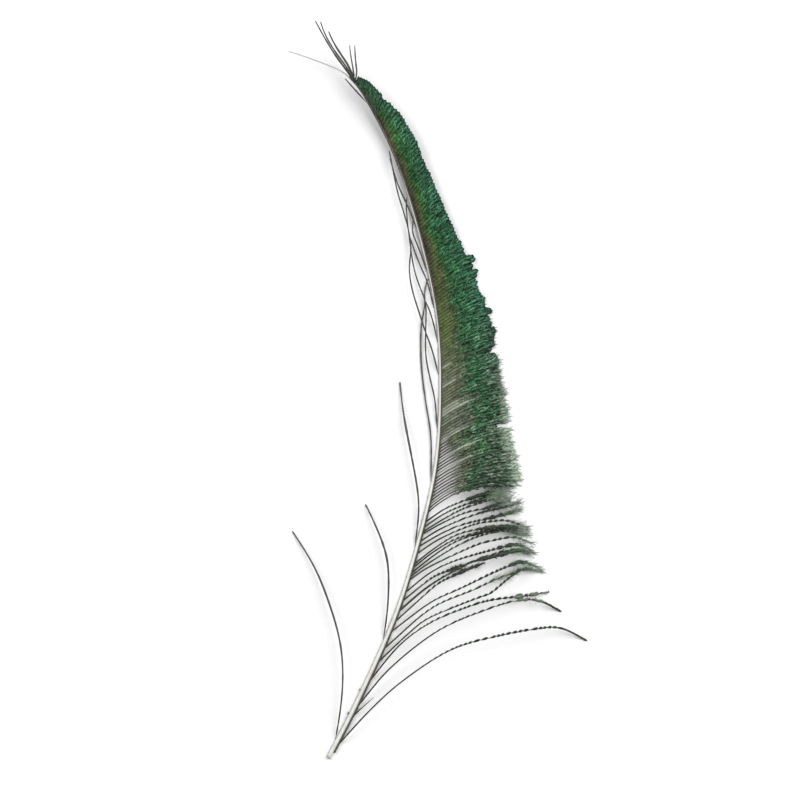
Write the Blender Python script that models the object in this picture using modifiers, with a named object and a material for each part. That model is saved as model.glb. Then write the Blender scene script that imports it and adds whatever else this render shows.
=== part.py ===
"""A peacock sword feather, lying flat with its good face up.

The shaft runs from the cut quill at -Y to the tip at +Y in a long S-curve.
Its underside is flat and lies on z = 0 for two thirds of its length, and the
tip third rises off the surface. On the broad side (+X) a dark root ridge
carries the dense web of barbs and, lower down, the loose barbs. On the narrow
side only single stray barbs are left, and a few more fan out past the tip.

Lengths in the constants are millimetres, and angles are degrees above +X.
"""

import bmesh
import bpy
import numpy as np

MM = 0.001                      # metres in a millimetre
GAP = 0.3                       # clearance between neighbouring pieces
WELD = 0.001                    # points of one piece closer than this are joined
ROUND_RESOLUTION = 1            # corners that round off each quarter of a barb's section

# Shaft: centre line (x, y) and width at each point, from the cut end to the tip.
SHAFT_POINTS = [
    (-60.0, -202.3, 2.3), (-43.4, -169.7, 2.25), (-24.0, -126.0, 1.95), (-11.0, -84.9, 1.75),
    (-1.5, -43.8, 1.6), (1.3, -5.5, 1.45), (-0.3, 38.4, 1.15), (-9.2, 82.2, 1.0),
    (-22.8, 126.2, 0.8), (-39.1, 159.2, 0.6), (-48.6, 172.4, 0.4),
]
CENTRE_STEPS = 400              # straight bits that the smooth centre line is measured with
SHAFT_HEIGHT = 0.8              # height of the section as a share of its width
SECTION_CORNERS = 9             # corners of the section
SECTION_TURN = 0.2              # half turns that the section goes round below its middle
SECTION_MIDDLE = 0.3            # height of the section's middle as a share of its width
SHAFT_STEPS = 44                # sections along the shaft
FLAT_LENGTH = 262.0             # how far the underside lies on the surface
TIP_RISE = 13.0                 # how far the tip's underside stands off it
TIP_RISE_POWER = 1.6            # how late the rise comes: 1 is a straight slope

# Where barbs grow on the shaft: this far round from the level of its middle.
SHOULDER = 20.0

# Root ridge along the broad shoulder of the shaft.
RIDGE_START = 4.0               # distance along the shaft
RIDGE_TIP_MARGIN = 1.5          # how far short of the shaft's tip the ridge ends
RIDGE_RADIUS_BASE = 0.42
RIDGE_RADIUS_TIP = 0.28
RIDGE_STEPS = 40

# Dense web: station along the shaft, chord length, chord heading,
# heading where a barb leaves the ridge, and heading at its tip.
WEB_KEYS = np.array([
    (143.0, 52.5, 19.0, 37.0, 3.0),
    (155.0, 49.5, 19.0, 37.0, 3.0),
    (168.0, 43.8, 20.5, 37.0, 6.0),
    (185.0, 39.6, 23.0, 36.0, 11.0),
    (210.0, 34.2, 23.5, 36.0, 13.0),
    (234.0, 31.4, 26.0, 36.0, 16.0),
    (256.0, 26.0, 27.0, 38.0, 17.0),
    (279.0, 22.2, 33.0, 43.0, 24.0),
    (300.0, 18.6, 41.0, 50.0, 34.0),
    (321.0, 16.3, 46.0, 55.0, 40.0),
    (338.0, 15.4, 52.0, 60.0, 46.0),
    (357.0, 13.8, 52.0, 64.0, 46.0),
    (372.0, 9.8, 50.0, 66.0, 40.0),
    (386.0, 6.3, 50.0, 68.0, 40.0),
    (392.0, 3.6, 52.0, 70.0, 45.0),
])
WEB_LOCKS = 40                  # locks that the web is combed into
WEB_ROWS = 3                    # grid rows in a lock
WEB_COLUMNS = 5                 # grid columns from ridge to edge
WEB_THICKNESS = 0.8
WEB_ARCH = 0.13                 # height of the arch as a share of the chord
LOCK_CREST = 0.5                # how far a lock's middle stands above its sides
LOCK_BUMP = 0.06                # how far a lock's rounded end stands out, as a share
# Height of the web's outer edge above the shaft's underside, by station.
EDGE_STATIONS = [143.0, 175.0, 205.0, 236.0, 262.0, 300.0, 395.0]
EDGE_HEIGHTS = [0.45, 0.45, 1.2, 0.45, 1.6, 2.6, 0.8]

# Loose lower barbs: station, height of the arch above the surface, and the
# points (x, y) that the barb passes between the ridge and its tip.
LOOSE_BARBS = [
    (10.0, 11.0, [(-36.5, -175.5), (-18.5, -159.5), (7.0, -143.0), (32.0, -135.5),
                  (56.5, -131.0), (68.5, -131.0), (81.6, -137.5)]),
    (34.0, 10.0, [(-25.5, -152.5), (1.0, -132.0), (29.0, -120.0), (45.5, -115.5),
                  (56.5, -116.0), (67.5, -121.5)]),
    (49.0, 8.0, [(-21.0, -140.5), (-4.0, -128.0), (16.0, -119.5), (29.5, -115.5),
                 (45.5, -113.5), (61.5, -111.0)]),
    (60.0, 10.0, [(-16.0, -134.0), (-4.0, -125.0), (23.0, -114.0), (29.0, -112.0),
                  (38.0, -104.5), (46.5, -98.5), (57.0, -99.5)]),
    (68.0, 7.0, [(-4.0, -120.5), (19.5, -110.0), (32.5, -104.0), (42.5, -100.5)]),
    (78.0, 9.0, [(-4.0, -117.0), (14.0, -108.5), (29.5, -101.0), (40.0, -96.5),
                 (46.5, -94.5), (54.5, -97.0)]),
    (84.0, 4.5, [(-4.0, -110.0), (2.0, -105.5), (13.5, -100.0), (26.0, -95.0)]),
    (90.0, 8.0, [(-4.0, -107.5), (17.0, -95.5), (28.0, -92.0), (45.5, -88.0), (52.5, -89.5)]),
    (96.0, 4.0, [(-4.0, -104.0), (5.5, -99.5), (16.0, -96.0)]),
    (101.0, 9.0, [(-4.0, -100.5), (9.5, -94.0), (28.0, -88.5), (43.0, -85.0), (50.5, -87.5)]),
    (108.0, 8.0, [(-4.0, -97.0), (19.5, -86.0), (29.5, -83.0), (42.0, -81.0), (51.5, -84.0)]),
    (112.0, 7.0, [(-2.0, -91.0), (10.0, -83.5), (24.0, -78.5), (36.5, -76.5), (48.5, -79.0)]),
    (117.0, 9.0, [(-1.5, -87.0), (11.0, -79.5), (26.0, -76.0), (38.5, -75.0), (48.5, -76.5)]),
    (123.0, 8.5, [(2.0, -81.5), (20.0, -74.0), (32.5, -72.0), (39.0, -72.0), (49.0, -75.5)]),
    (127.0, 7.5, [(2.0, -79.0), (14.0, -74.0), (28.5, -70.5), (38.0, -68.0), (45.0, -66.0)]),
    (130.0, 9.0, [(1.5, -76.5), (14.0, -71.0), (25.5, -67.0), (36.5, -64.5), (44.5, -62.5)]),
    (134.0, 7.0, [(3.0, -73.0), (15.5, -67.5), (28.5, -64.5), (39.0, -60.5)]),
    (138.0, 6.0, [(3.0, -68.5), (14.0, -63.5), (24.0, -60.5), (32.5, -58.0)]),
    (141.0, 8.0, [(3.0, -66.0), (10.5, -62.5), (20.0, -59.0), (34.5, -55.0)]),
]
LOOSE_STEPS = 10
LOOSE_STEM_RADIUS = 0.36
LOOSE_TUFT_RADIUS = 0.8         # half width where the fine barbules stand out
LOOSE_TUFT_START = 0.3          # share of the length that is bare
LOOSE_TIP_RADIUS = 0.3

# Stray barbs of the narrow side: station, and the points (x, y, height of the
# centre above the surface) that the barb passes from the shaft to its tip.
NARROW_BARBS = [
    (11.0, [(-53.6, -178.0, 5.0), (-51.9, -158.0, 7.6), (-54.0, -135.5, 8.0),
            (-64.0, -105.0, 5.0), (-71.5, -90.5, 2.4), (-79.5, -78.1, 0.5)]),
    (72.0, [(-27.3, -120.0, 4.2), (-26.8, -97.5, 6.2), (-28.7, -87.5, 6.4),
            (-36.0, -70.0, 4.0), (-39.4, -63.3, 0.5)]),
    (126.0, [(-9.9, -64.0, 3.6), (-12.0, -48.4, 5.2), (-14.8, -33.6, 5.6),
             (-17.9, -18.0, 3.8), (-19.7, -6.0, 1.8), (-20.6, 3.9, 0.5)]),
    (163.0, [(-3.6, -25.9, 1.2), (-6.6, -5.5, 1.0), (-8.9, 14.3, 0.8),
             (-9.0, 34.1, 0.9), (-6.9, 46.8, 1.1), (-7.1, 55.0, 0.9), (-5.2, 61.0, 0.7)]),
    (192.0, [(-1.4, -5.5, 2.0), (-3.9, 5.5, 2.5), (-6.4, 18.7, 2.9), (-6.5, 31.4, 3.0),
             (-6.4, 47.5, 3.0), (-9.4, 55.8, 2.9), (-12.8, 66.3, 2.9), (-15.0, 80.0, 2.9),
             (-17.2, 99.8, 3.4), (-16.9, 105.6, 4.4)]),
    (222.0, [(-2.9, 21.9, 3.0), (-6.4, 31.4, 4.6), (-10.2, 43.0, 5.4), (-14.0, 55.5, 5.8),
             (-15.6, 66.9, 5.6), (-14.6, 76.0, 5.4), (-15.4, 85.4, 5.2), (-18.4, 97.4, 5.6),
             (-22.1, 109.4, 6.2), (-26.4, 131.0, 8.0)]),
    (240.0, [(-1.8, 35.0, 2.4), (-4.6, 44.6, 4.2), (-7.0, 49.4, 4.8)]),
    (259.0, [(-5.6, 59.6, 2.2), (-9.0, 67.2, 1.9), (-12.5, 76.2, 1.6), (-14.8, 83.2, 1.4)]),
    (279.0, [(-8.8, 74.0, 2.1), (-11.5, 80.9, 3.0), (-14.0, 87.0, 4.0), (-13.5, 92.6, 4.6)]),
    (304.0, [(-14.9, 97.6, 3.4), (-18.0, 104.6, 6.0), (-22.1, 113.8, 8.0), (-26.0, 127.0, 9.8)]),
    (379.0, [(-45.6, 165.4, 11.4), (-50.6, 171.1, 12.0)]),
]
NARROW_SPACING = 8.0            # distance between the points of a stray barb
NARROW_FEWEST_STEPS = 4         # straight bits of the shortest stray barb
NARROW_ROOT_RADIUS = 0.32
NARROW_TIP_RADIUS = 0.2

# Barbs that fan out past the tip: the tip (x, y, height) and the two headings.
TIP_BARBS = [
    ((-67.0, 202.7, 17.0), 132.0, 118.0),
    ((-64.2, 202.2, 19.5), 126.0, 104.0),
    ((-59.7, 196.9, 13.0), 118.0, 108.0),
    ((-48.3, 189.4, 15.2), 98.0, 93.0),
    ((-45.5, 189.4, 13.0), 100.0, 92.0),
    ((-81.6, 186.2, 8.0), 158.0, 164.0),
]
TIP_ROOTS = [
    (-48.6, 174.3, 14.2), (-48.0, 174.9, 15.3), (-47.4, 175.6, 12.6),
    (-46.2, 175.2, 14.6), (-44.2, 174.8, 13.2), (-51.0, 174.9, 12.9),
]
TIP_ARCH = 1.0                  # height of the arch of a tip barb
TIP_POINTS = 8                  # points along a tip barb
TIP_ROOT_RADIUS = 0.3
TIP_END_RADIUS = 0.2

FINISHES = {                    # base colour, roughness
    "shaft_keratin": ((0.78, 0.73, 0.62, 1.0), 0.45),
    "vane_green": ((0.035, 0.13, 0.055, 1.0), 0.5),
    "barb_dark": ((0.022, 0.022, 0.018, 1.0), 0.6),
    "barb_pale": ((0.45, 0.44, 0.42, 1.0), 0.6),
}


def clear_scene():
    """Remove every object of the scene that the script starts from."""
    for item in list(bpy.data.objects):
        bpy.data.objects.remove(item, do_unlink=True)


def new_collection(name):
    """Add an empty collection to the scene."""
    collection = bpy.data.collections.new(name)
    bpy.context.scene.collection.children.link(collection)
    return collection


def finish(name):
    """Principled material for one of the FINISHES."""
    material = bpy.data.materials.get(name)
    if material is None:
        colour, roughness = FINISHES[name]
        material = bpy.data.materials.new(name)
        material.use_nodes = True
        shader = material.node_tree.nodes["Principled BSDF"]
        shader.inputs["Base Color"].default_value = colour
        shader.inputs["Roughness"].default_value = roughness
        shader.inputs["Metallic"].default_value = 0.0
    return material


def smooth_through(points, steps):
    """Catmull-Rom curve through rows of numbers, as steps + 1 evenly spread rows."""
    rows = np.array(points, dtype=float)
    rows = np.vstack([2 * rows[0] - rows[1], rows, 2 * rows[-1] - rows[-2]])
    spans = len(rows) - 3
    place = np.linspace(0.0, spans, steps + 1)
    first = np.minimum(place.astype(int), spans - 1)
    t = (place - first)[:, None]
    a, b, c, d = (rows[first + k] for k in range(4))
    return 0.5 * (2 * b + (c - a) * t + (2 * a - 5 * b + 4 * c - d) * t ** 2
                  + (3 * b - a - 3 * c + d) * t ** 3)


FINE_LINE = smooth_through(SHAFT_POINTS, CENTRE_STEPS)
FINE_STATION = np.concatenate(
    [[0.0], np.cumsum(np.linalg.norm(np.diff(FINE_LINE[:, :2], axis=0), axis=1))])
FINE_HEADING = np.unwrap(np.arctan2(np.gradient(FINE_LINE[:, 1]), np.gradient(FINE_LINE[:, 0])))
SHAFT_LENGTH = FINE_STATION[-1]


def rise(station):
    """Height of the shaft's underside: flat, then a power curve up to the tip."""
    share = np.clip((station - FLAT_LENGTH) / (SHAFT_LENGTH - FLAT_LENGTH), 0.0, 1.0)
    return TIP_RISE * share ** TIP_RISE_POWER


def shaft_at(station):
    """Centre (x, y), width and heading of the shaft at a distance along it."""
    x = np.interp(station, FINE_STATION, FINE_LINE[:, 0])
    y = np.interp(station, FINE_STATION, FINE_LINE[:, 1])
    width = np.interp(station, FINE_STATION, FINE_LINE[:, 2])
    heading = np.interp(station, FINE_STATION, FINE_HEADING)
    return x, y, width, heading


def ridge_radius(station):
    """Radius of the root ridge, tapering from the quill to the tip."""
    share = station / SHAFT_LENGTH
    return RIDGE_RADIUS_BASE + (RIDGE_RADIUS_TIP - RIDGE_RADIUS_BASE) * share


def shoulder_at(station, radius, side):
    """Centre (x, y, z) of a round piece GAP clear of the shaft's shoulder.

    The section of the shaft is nearly round, with its middle SECTION_MIDDLE
    widths above the underside. Side is 1 on the broad side, -1 on the narrow.
    """
    x, y, width, heading = shaft_at(station)
    reach = width / 2 + GAP + radius
    out = side * reach * np.cos(np.radians(SHOULDER))
    height = rise(station) + SECTION_MIDDLE * width + reach * np.sin(np.radians(SHOULDER))
    return np.stack([x + out * np.sin(heading), y - out * np.cos(heading), height], -1)


def ridge_at(station):
    """Centre of the root ridge."""
    return shoulder_at(station, ridge_radius(station), 1)


def barb_line(root, leave, tip, arrive, arch, t):
    """Cubic Hermite curve in plan, with a parabola of height arch added on top."""
    chord = np.linalg.norm((tip - root)[..., :2], axis=-1)[..., None]
    leave, arrive = np.radians(leave)[..., None], np.radians(arrive)[..., None]
    start = chord * np.concatenate([np.cos(leave), np.sin(leave)], -1)
    end = chord * np.concatenate([np.cos(arrive), np.sin(arrive)], -1)
    blend = t * t * (3 - 2 * t)
    plan = ((1 - blend) * root[..., :2] + blend * tip[..., :2]
            + t * (1 - t) ** 2 * start - t * t * (1 - t) * end)
    height = (1 - t) * root[..., 2:] + t * tip[..., 2:] + 4 * arch[..., None] * t * (1 - t)
    return np.concatenate([plan, height], -1)


def web_surface(across, along):
    """Middle surface of the web: across runs ridge to edge, along runs up the shaft.

    Each lock is crowned by LOCK_CREST and its end is rounded out by LOCK_BUMP,
    both as the sine of the place within the lock.
    """
    station = WEB_KEYS[0, 0] + (WEB_KEYS[-1, 0] - WEB_KEYS[0, 0]) * along
    chord, angle, leave, arrive = (
        np.interp(station, WEB_KEYS[:, 0], WEB_KEYS[:, k]) for k in range(1, 5))
    lock = np.sin(np.pi * (along * WEB_LOCKS % 1.0))
    chord = chord * (1 + LOCK_BUMP * (lock - 0.5))
    root = ridge_at(station)
    edge_height = rise(station) + np.interp(station, EDGE_STATIONS, EDGE_HEIGHTS)
    heading = np.radians(angle)
    tip = np.stack([root[:, 0] + chord * np.cos(heading),
                    root[:, 1] + chord * np.sin(heading), edge_height], -1)
    points = barb_line(root, leave, tip, arrive, WEB_ARCH * chord, across[:, None])
    points[:, 2] += LOCK_CREST * lock * np.sin(np.pi * 0.5 * across)
    return points


def curve_object(name, points, radii, collection, profile=None):
    """Curve through points with a radius at each, round unless given a profile."""
    data = bpy.data.curves.new(name, "CURVE")
    data.dimensions = "3D"
    data.twist_mode = "Z_UP"
    data.render_resolution_u = 0
    data.use_fill_caps = True
    if profile is None:
        data.bevel_depth = MM
        data.bevel_resolution = ROUND_RESOLUTION
    else:
        data.bevel_mode = "OBJECT"
        data.bevel_object = profile
    spline = data.splines.new("POLY")
    spline.points.add(len(points) - 1)
    rows = np.ones((len(points), 4))
    rows[:, :3] = np.array(points) * MM
    spline.points.foreach_set("co", rows.ravel())
    spline.points.foreach_set("radius", np.array(radii, dtype=float))
    spline.use_smooth = True
    item = bpy.data.objects.new(name, data)
    collection.objects.link(item)
    return item


def as_mesh(item, collection):
    """Replace a curve object by its welded mesh, with the faces turned outwards."""
    name = item.name
    bpy.context.view_layer.update()
    evaluated = item.evaluated_get(bpy.context.evaluated_depsgraph_get())
    mesh = bpy.data.meshes.new_from_object(evaluated)
    bpy.data.objects.remove(item, do_unlink=True)
    shape = bmesh.new()
    shape.from_mesh(mesh)
    bmesh.ops.remove_doubles(shape, verts=shape.verts, dist=WELD * MM)
    bmesh.ops.recalc_face_normals(shape, faces=shape.faces)
    shape.to_mesh(mesh)
    shape.free()
    solid = bpy.data.objects.new(name, mesh)
    collection.objects.link(solid)
    return solid


def hide_guide(item):
    """Mark an object that only shapes another one."""
    item.hide_render = True
    item.display_type = "WIRE"


def shaft_profile(guides):
    """Outline of the shaft's section, one unit wide, with a flat underside."""
    angle = np.pi * np.linspace(1 + SECTION_TURN, -SECTION_TURN, SECTION_CORNERS)
    across = 0.5 * np.cos(angle)
    above = SHAFT_HEIGHT * (np.sin(angle) - np.sin(angle[0])) / (1 - np.sin(angle[0]))
    data = bpy.data.curves.new("shaft_section", "CURVE")
    data.dimensions = "2D"
    spline = data.splines.new("POLY")
    spline.points.add(len(angle) - 1)
    rows = np.zeros((len(angle), 4))
    rows[:, 0] = across * MM
    rows[:, 1] = above * MM
    rows[:, 3] = 1.0
    spline.points.foreach_set("co", rows.ravel())
    spline.use_cyclic_u = True
    item = bpy.data.objects.new("shaft_section", data)
    guides.objects.link(item)
    hide_guide(item)
    return item


def make_shaft(parts, guides):
    """Tapering shaft with a flat underside, carried along the centre line."""
    station = np.linspace(0.0, SHAFT_LENGTH, SHAFT_STEPS + 1)
    x, y, width, _ = shaft_at(station)
    item = curve_object("shaft", np.stack([x, y, rise(station)], -1), width, parts,
                        shaft_profile(guides))
    item.data.materials.append(finish("shaft_keratin"))
    return item


def make_ridge(guides):
    """Root ridge that the web and the loose barbs grow from."""
    station = np.linspace(RIDGE_START, SHAFT_LENGTH - RIDGE_TIP_MARGIN, RIDGE_STEPS + 1)
    ridge = curve_object("root_ridge", ridge_at(station), ridge_radius(station), guides)
    return as_mesh(ridge, guides)


def make_loose_barb(index, guides):
    """One loose lower barb: a bare stem, then a tufted length, then a fine tip.

    Its height runs evenly from the ridge to the surface, with a parabola of
    the given arch added on top.
    """
    station, arch, passed = LOOSE_BARBS[index]
    root = ridge_at(np.array(station))
    plan = smooth_through([tuple(root[:2])] + passed, LOOSE_STEPS)
    t = np.linspace(0.0, 1.0, LOOSE_STEPS + 1)
    height = (1 - t) * root[2] + t * LOOSE_TIP_RADIUS + 4 * arch * t * (1 - t)
    tuft = np.clip((t - LOOSE_TUFT_START) / (1 - LOOSE_TUFT_START), 0.0, 1.0)
    radii = (LOOSE_STEM_RADIUS + (LOOSE_TIP_RADIUS - LOOSE_STEM_RADIUS) * t
             + (LOOSE_TUFT_RADIUS - LOOSE_STEM_RADIUS) * np.sin(np.pi * tuft))
    barb = curve_object(f"loose_barb_{index + 1}", np.column_stack([plan, height]), radii, guides)
    return as_mesh(barb, guides)


def web_sheet():
    """Mesh of the web's middle surface, from a grid that runs from -1 to 1 both ways."""
    shape = bmesh.new()
    bmesh.ops.create_grid(shape, x_segments=WEB_COLUMNS, y_segments=WEB_LOCKS * WEB_ROWS, size=1.0)
    mesh = bpy.data.meshes.new("broad_vane")
    shape.to_mesh(mesh)
    shape.free()
    places = np.empty(len(mesh.vertices) * 3)
    mesh.vertices.foreach_get("co", places)
    across, along, _ = (places.reshape(-1, 3).T + 1) / 2
    mesh.vertices.foreach_set("co", (web_surface(across, along) * MM).ravel())
    return mesh


def make_broad_vane(parts, guides):
    """The combed web as a thick sheet, joined with the ridge and the loose barbs."""
    vane = bpy.data.objects.new("broad_vane", web_sheet())
    parts.objects.link(vane)
    vane.data.materials.append(finish("vane_green"))

    sheet = vane.modifiers.new("Sheet", "SOLIDIFY")
    sheet.thickness = WEB_THICKNESS * MM
    sheet.offset = 0.0

    grown = new_collection("vane_growth")
    for item in [make_ridge(guides)] + [make_loose_barb(k, guides) for k in range(len(LOOSE_BARBS))]:
        hide_guide(item)
        grown.objects.link(item)
    union = vane.modifiers.new("Growth", "BOOLEAN")
    union.operation = "UNION"
    union.solver = "EXACT"
    union.operand_type = "COLLECTION"
    union.collection = grown
    return vane


def make_narrow_barbs(parts):
    """Stray barbs of the narrow side, each a thin tapering tube."""
    for index, (station, passed) in enumerate(NARROW_BARBS):
        root = shoulder_at(np.array(station), NARROW_ROOT_RADIUS, -1)
        corners = np.vstack([root, passed])
        length = np.linalg.norm(np.diff(corners, axis=0), axis=1).sum()
        line = smooth_through(corners, max(NARROW_FEWEST_STEPS, round(length / NARROW_SPACING)))
        radii = np.linspace(NARROW_ROOT_RADIUS, NARROW_TIP_RADIUS, len(line))
        barb = curve_object(f"narrow_barb_{index + 1}", line, radii, parts)
        barb.data.materials.append(finish("barb_dark"))


def make_tip_barbs(parts):
    """Barbs that fan out past the tip. The last one is pale."""
    t = np.linspace(0.0, 1.0, TIP_POINTS)[:, None]
    for index, (tip, leave, arrive) in enumerate(TIP_BARBS):
        root = np.array(TIP_ROOTS[index])
        points = barb_line(root, np.array(leave), np.array(tip), np.array(arrive),
                           np.array(TIP_ARCH), t)
        radii = np.linspace(TIP_ROOT_RADIUS, TIP_END_RADIUS, TIP_POINTS)
        barb = curve_object(f"tip_barb_{index + 1}", points, radii, parts)
        pale = index == len(TIP_BARBS) - 1
        barb.data.materials.append(finish("barb_pale" if pale else "barb_dark"))


def main():
    """Model the feather: its pieces in one collection, their guides in another."""
    clear_scene()
    parts = new_collection("peacock_feather")
    guides = new_collection("guides")
    make_shaft(parts, guides)
    make_broad_vane(parts, guides)
    make_narrow_barbs(parts)
    make_tip_barbs(parts)


main()
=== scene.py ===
"""A peacock sword feather with its barbs and barbules, on a white studio floor.

The file is laid out as a Blender add-on and is run as a script. It loads the
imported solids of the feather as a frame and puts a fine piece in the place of
each: the shaft, the dark root ridge, the dense web of barbs, the loose lower
barbs, and the stray barbs of the narrow side and of the tip.

Every barb is a tapering tube on a line. Where it is feathered, the tube widens
to a flat ribbon that turns or rocks about the line, and short closed blades,
the barbules, grow forward from the ribbon's two edges.

Lengths in the constants are millimetres where nothing else is said, and angles
are degrees above +X. A station is a distance along the shaft from its cut end.
"""

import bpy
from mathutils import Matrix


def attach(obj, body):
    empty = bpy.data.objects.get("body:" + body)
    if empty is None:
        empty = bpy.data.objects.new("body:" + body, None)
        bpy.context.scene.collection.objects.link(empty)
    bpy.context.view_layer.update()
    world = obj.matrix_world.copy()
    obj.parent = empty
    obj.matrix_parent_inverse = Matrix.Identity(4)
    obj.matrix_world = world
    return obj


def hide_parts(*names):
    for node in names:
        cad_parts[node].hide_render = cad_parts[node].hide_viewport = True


bl_info = {
    "name": "Peacock Sword Feather",
    "version": (1, 0, 0),
    "blender": (4, 5, 0),
    "location": "View3D > Sidebar > Feather",
    "description": "Builds the shaft, barbs and barbules of a peacock sword feather",
    "category": "Add Mesh",
}

from typing import NamedTuple

import bpy
import numpy as np
from bpy.props import FloatProperty, FloatVectorProperty, IntProperty, PointerProperty

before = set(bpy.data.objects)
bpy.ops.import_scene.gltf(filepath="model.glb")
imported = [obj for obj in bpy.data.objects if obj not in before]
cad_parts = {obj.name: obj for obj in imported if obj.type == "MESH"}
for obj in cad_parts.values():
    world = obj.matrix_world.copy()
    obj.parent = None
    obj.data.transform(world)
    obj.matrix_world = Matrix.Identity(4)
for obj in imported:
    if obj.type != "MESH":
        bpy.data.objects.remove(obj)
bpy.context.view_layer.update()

MM = 0.001                      # metres in a millimetre
GAP = 0.3                       # clearance between neighbouring solids

# ---- the solids' sizes

# Shaft: centre line (x, y) and width at each point, from the cut end to the tip.
SHAFT_POINTS = [
    (-60.0, -202.3, 2.3), (-43.4, -169.7, 2.25), (-24.0, -126.0, 1.95), (-11.0, -84.9, 1.75),
    (-1.5, -43.8, 1.6), (1.3, -5.5, 1.45), (-0.3, 38.4, 1.15), (-9.2, 82.2, 1.0),
    (-22.8, 126.2, 0.8), (-39.1, 159.2, 0.6), (-48.6, 172.4, 0.4),
]
SHAFT_HEIGHT = 0.8              # height of the section as a share of its width
SECTION_TURN = 0.2              # half turns that the section goes round below its middle
SECTION_MIDDLE = 0.3            # height of the section's middle as a share of its width
UNDER_POINTS = 5                # points across the grooved underside
GROOVE_DEPTH = 0.1              # depth of the groove as a share of the width
CUT_LENGTH = 3.0                # how much of the quill the slanted cut takes
CUT_SLANT = 0.9                 # how far apart the cut's two sides are along the shaft
CUT_DISH = 0.25                 # how deep the cut end is dished
POINT_LENGTH = 0.3              # how far the shaft's point is beyond its last ring
FLAT_LENGTH = 262.0             # how far the underside lies on the surface
TIP_RISE = 13.0                 # how far the tip's underside stands off it
TIP_RISE_POWER = 1.6
SHOULDER = 20.0                 # where barbs grow, this far round from the middle's level

RIDGE_START = 4.0               # distance along the shaft
RIDGE_TIP_MARGIN = 1.5
RIDGE_RADIUS_BASE = 0.42
RIDGE_RADIUS_TIP = 0.28
RIDGE_RINGS = 420
FINE_RIDGE_GAP = 0.17           # clearance between the fine ridge and the shaft
RIDGE_SWELL = (1.28, 0.12)      # its radius as a share of the solid's, and how much that varies
RIDGE_WAVES = (2.9, 1.3)        # how fast its two waves turn, in radians a millimetre

# Dense web: station along the shaft, chord length, chord heading,
# heading where a barb leaves the ridge, and heading at its tip.
WEB_KEYS = np.array([
    (143.0, 52.5, 19.0, 37.0, 3.0),
    (155.0, 49.5, 19.0, 37.0, 3.0),
    (168.0, 43.8, 20.5, 37.0, 6.0),
    (185.0, 39.6, 23.0, 36.0, 11.0),
    (210.0, 34.2, 23.5, 36.0, 13.0),
    (234.0, 31.4, 26.0, 36.0, 16.0),
    (256.0, 26.0, 27.0, 38.0, 17.0),
    (279.0, 22.2, 33.0, 43.0, 24.0),
    (300.0, 18.6, 41.0, 50.0, 34.0),
    (321.0, 16.3, 46.0, 55.0, 40.0),
    (338.0, 15.4, 52.0, 60.0, 46.0),
    (357.0, 13.8, 52.0, 64.0, 46.0),
    (372.0, 9.8, 50.0, 66.0, 40.0),
    (386.0, 6.3, 50.0, 68.0, 40.0),
    (392.0, 3.6, 52.0, 70.0, 45.0),
])
WEB_ARCH = 0.13                 # height of the arch as a share of the chord
# Height of the web's outer edge above the shaft's underside, by station.
EDGE_STATIONS = [143.0, 175.0, 205.0, 236.0, 262.0, 300.0, 395.0]
EDGE_HEIGHTS = [0.45, 0.45, 1.2, 0.45, 1.6, 2.6, 0.8]

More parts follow.
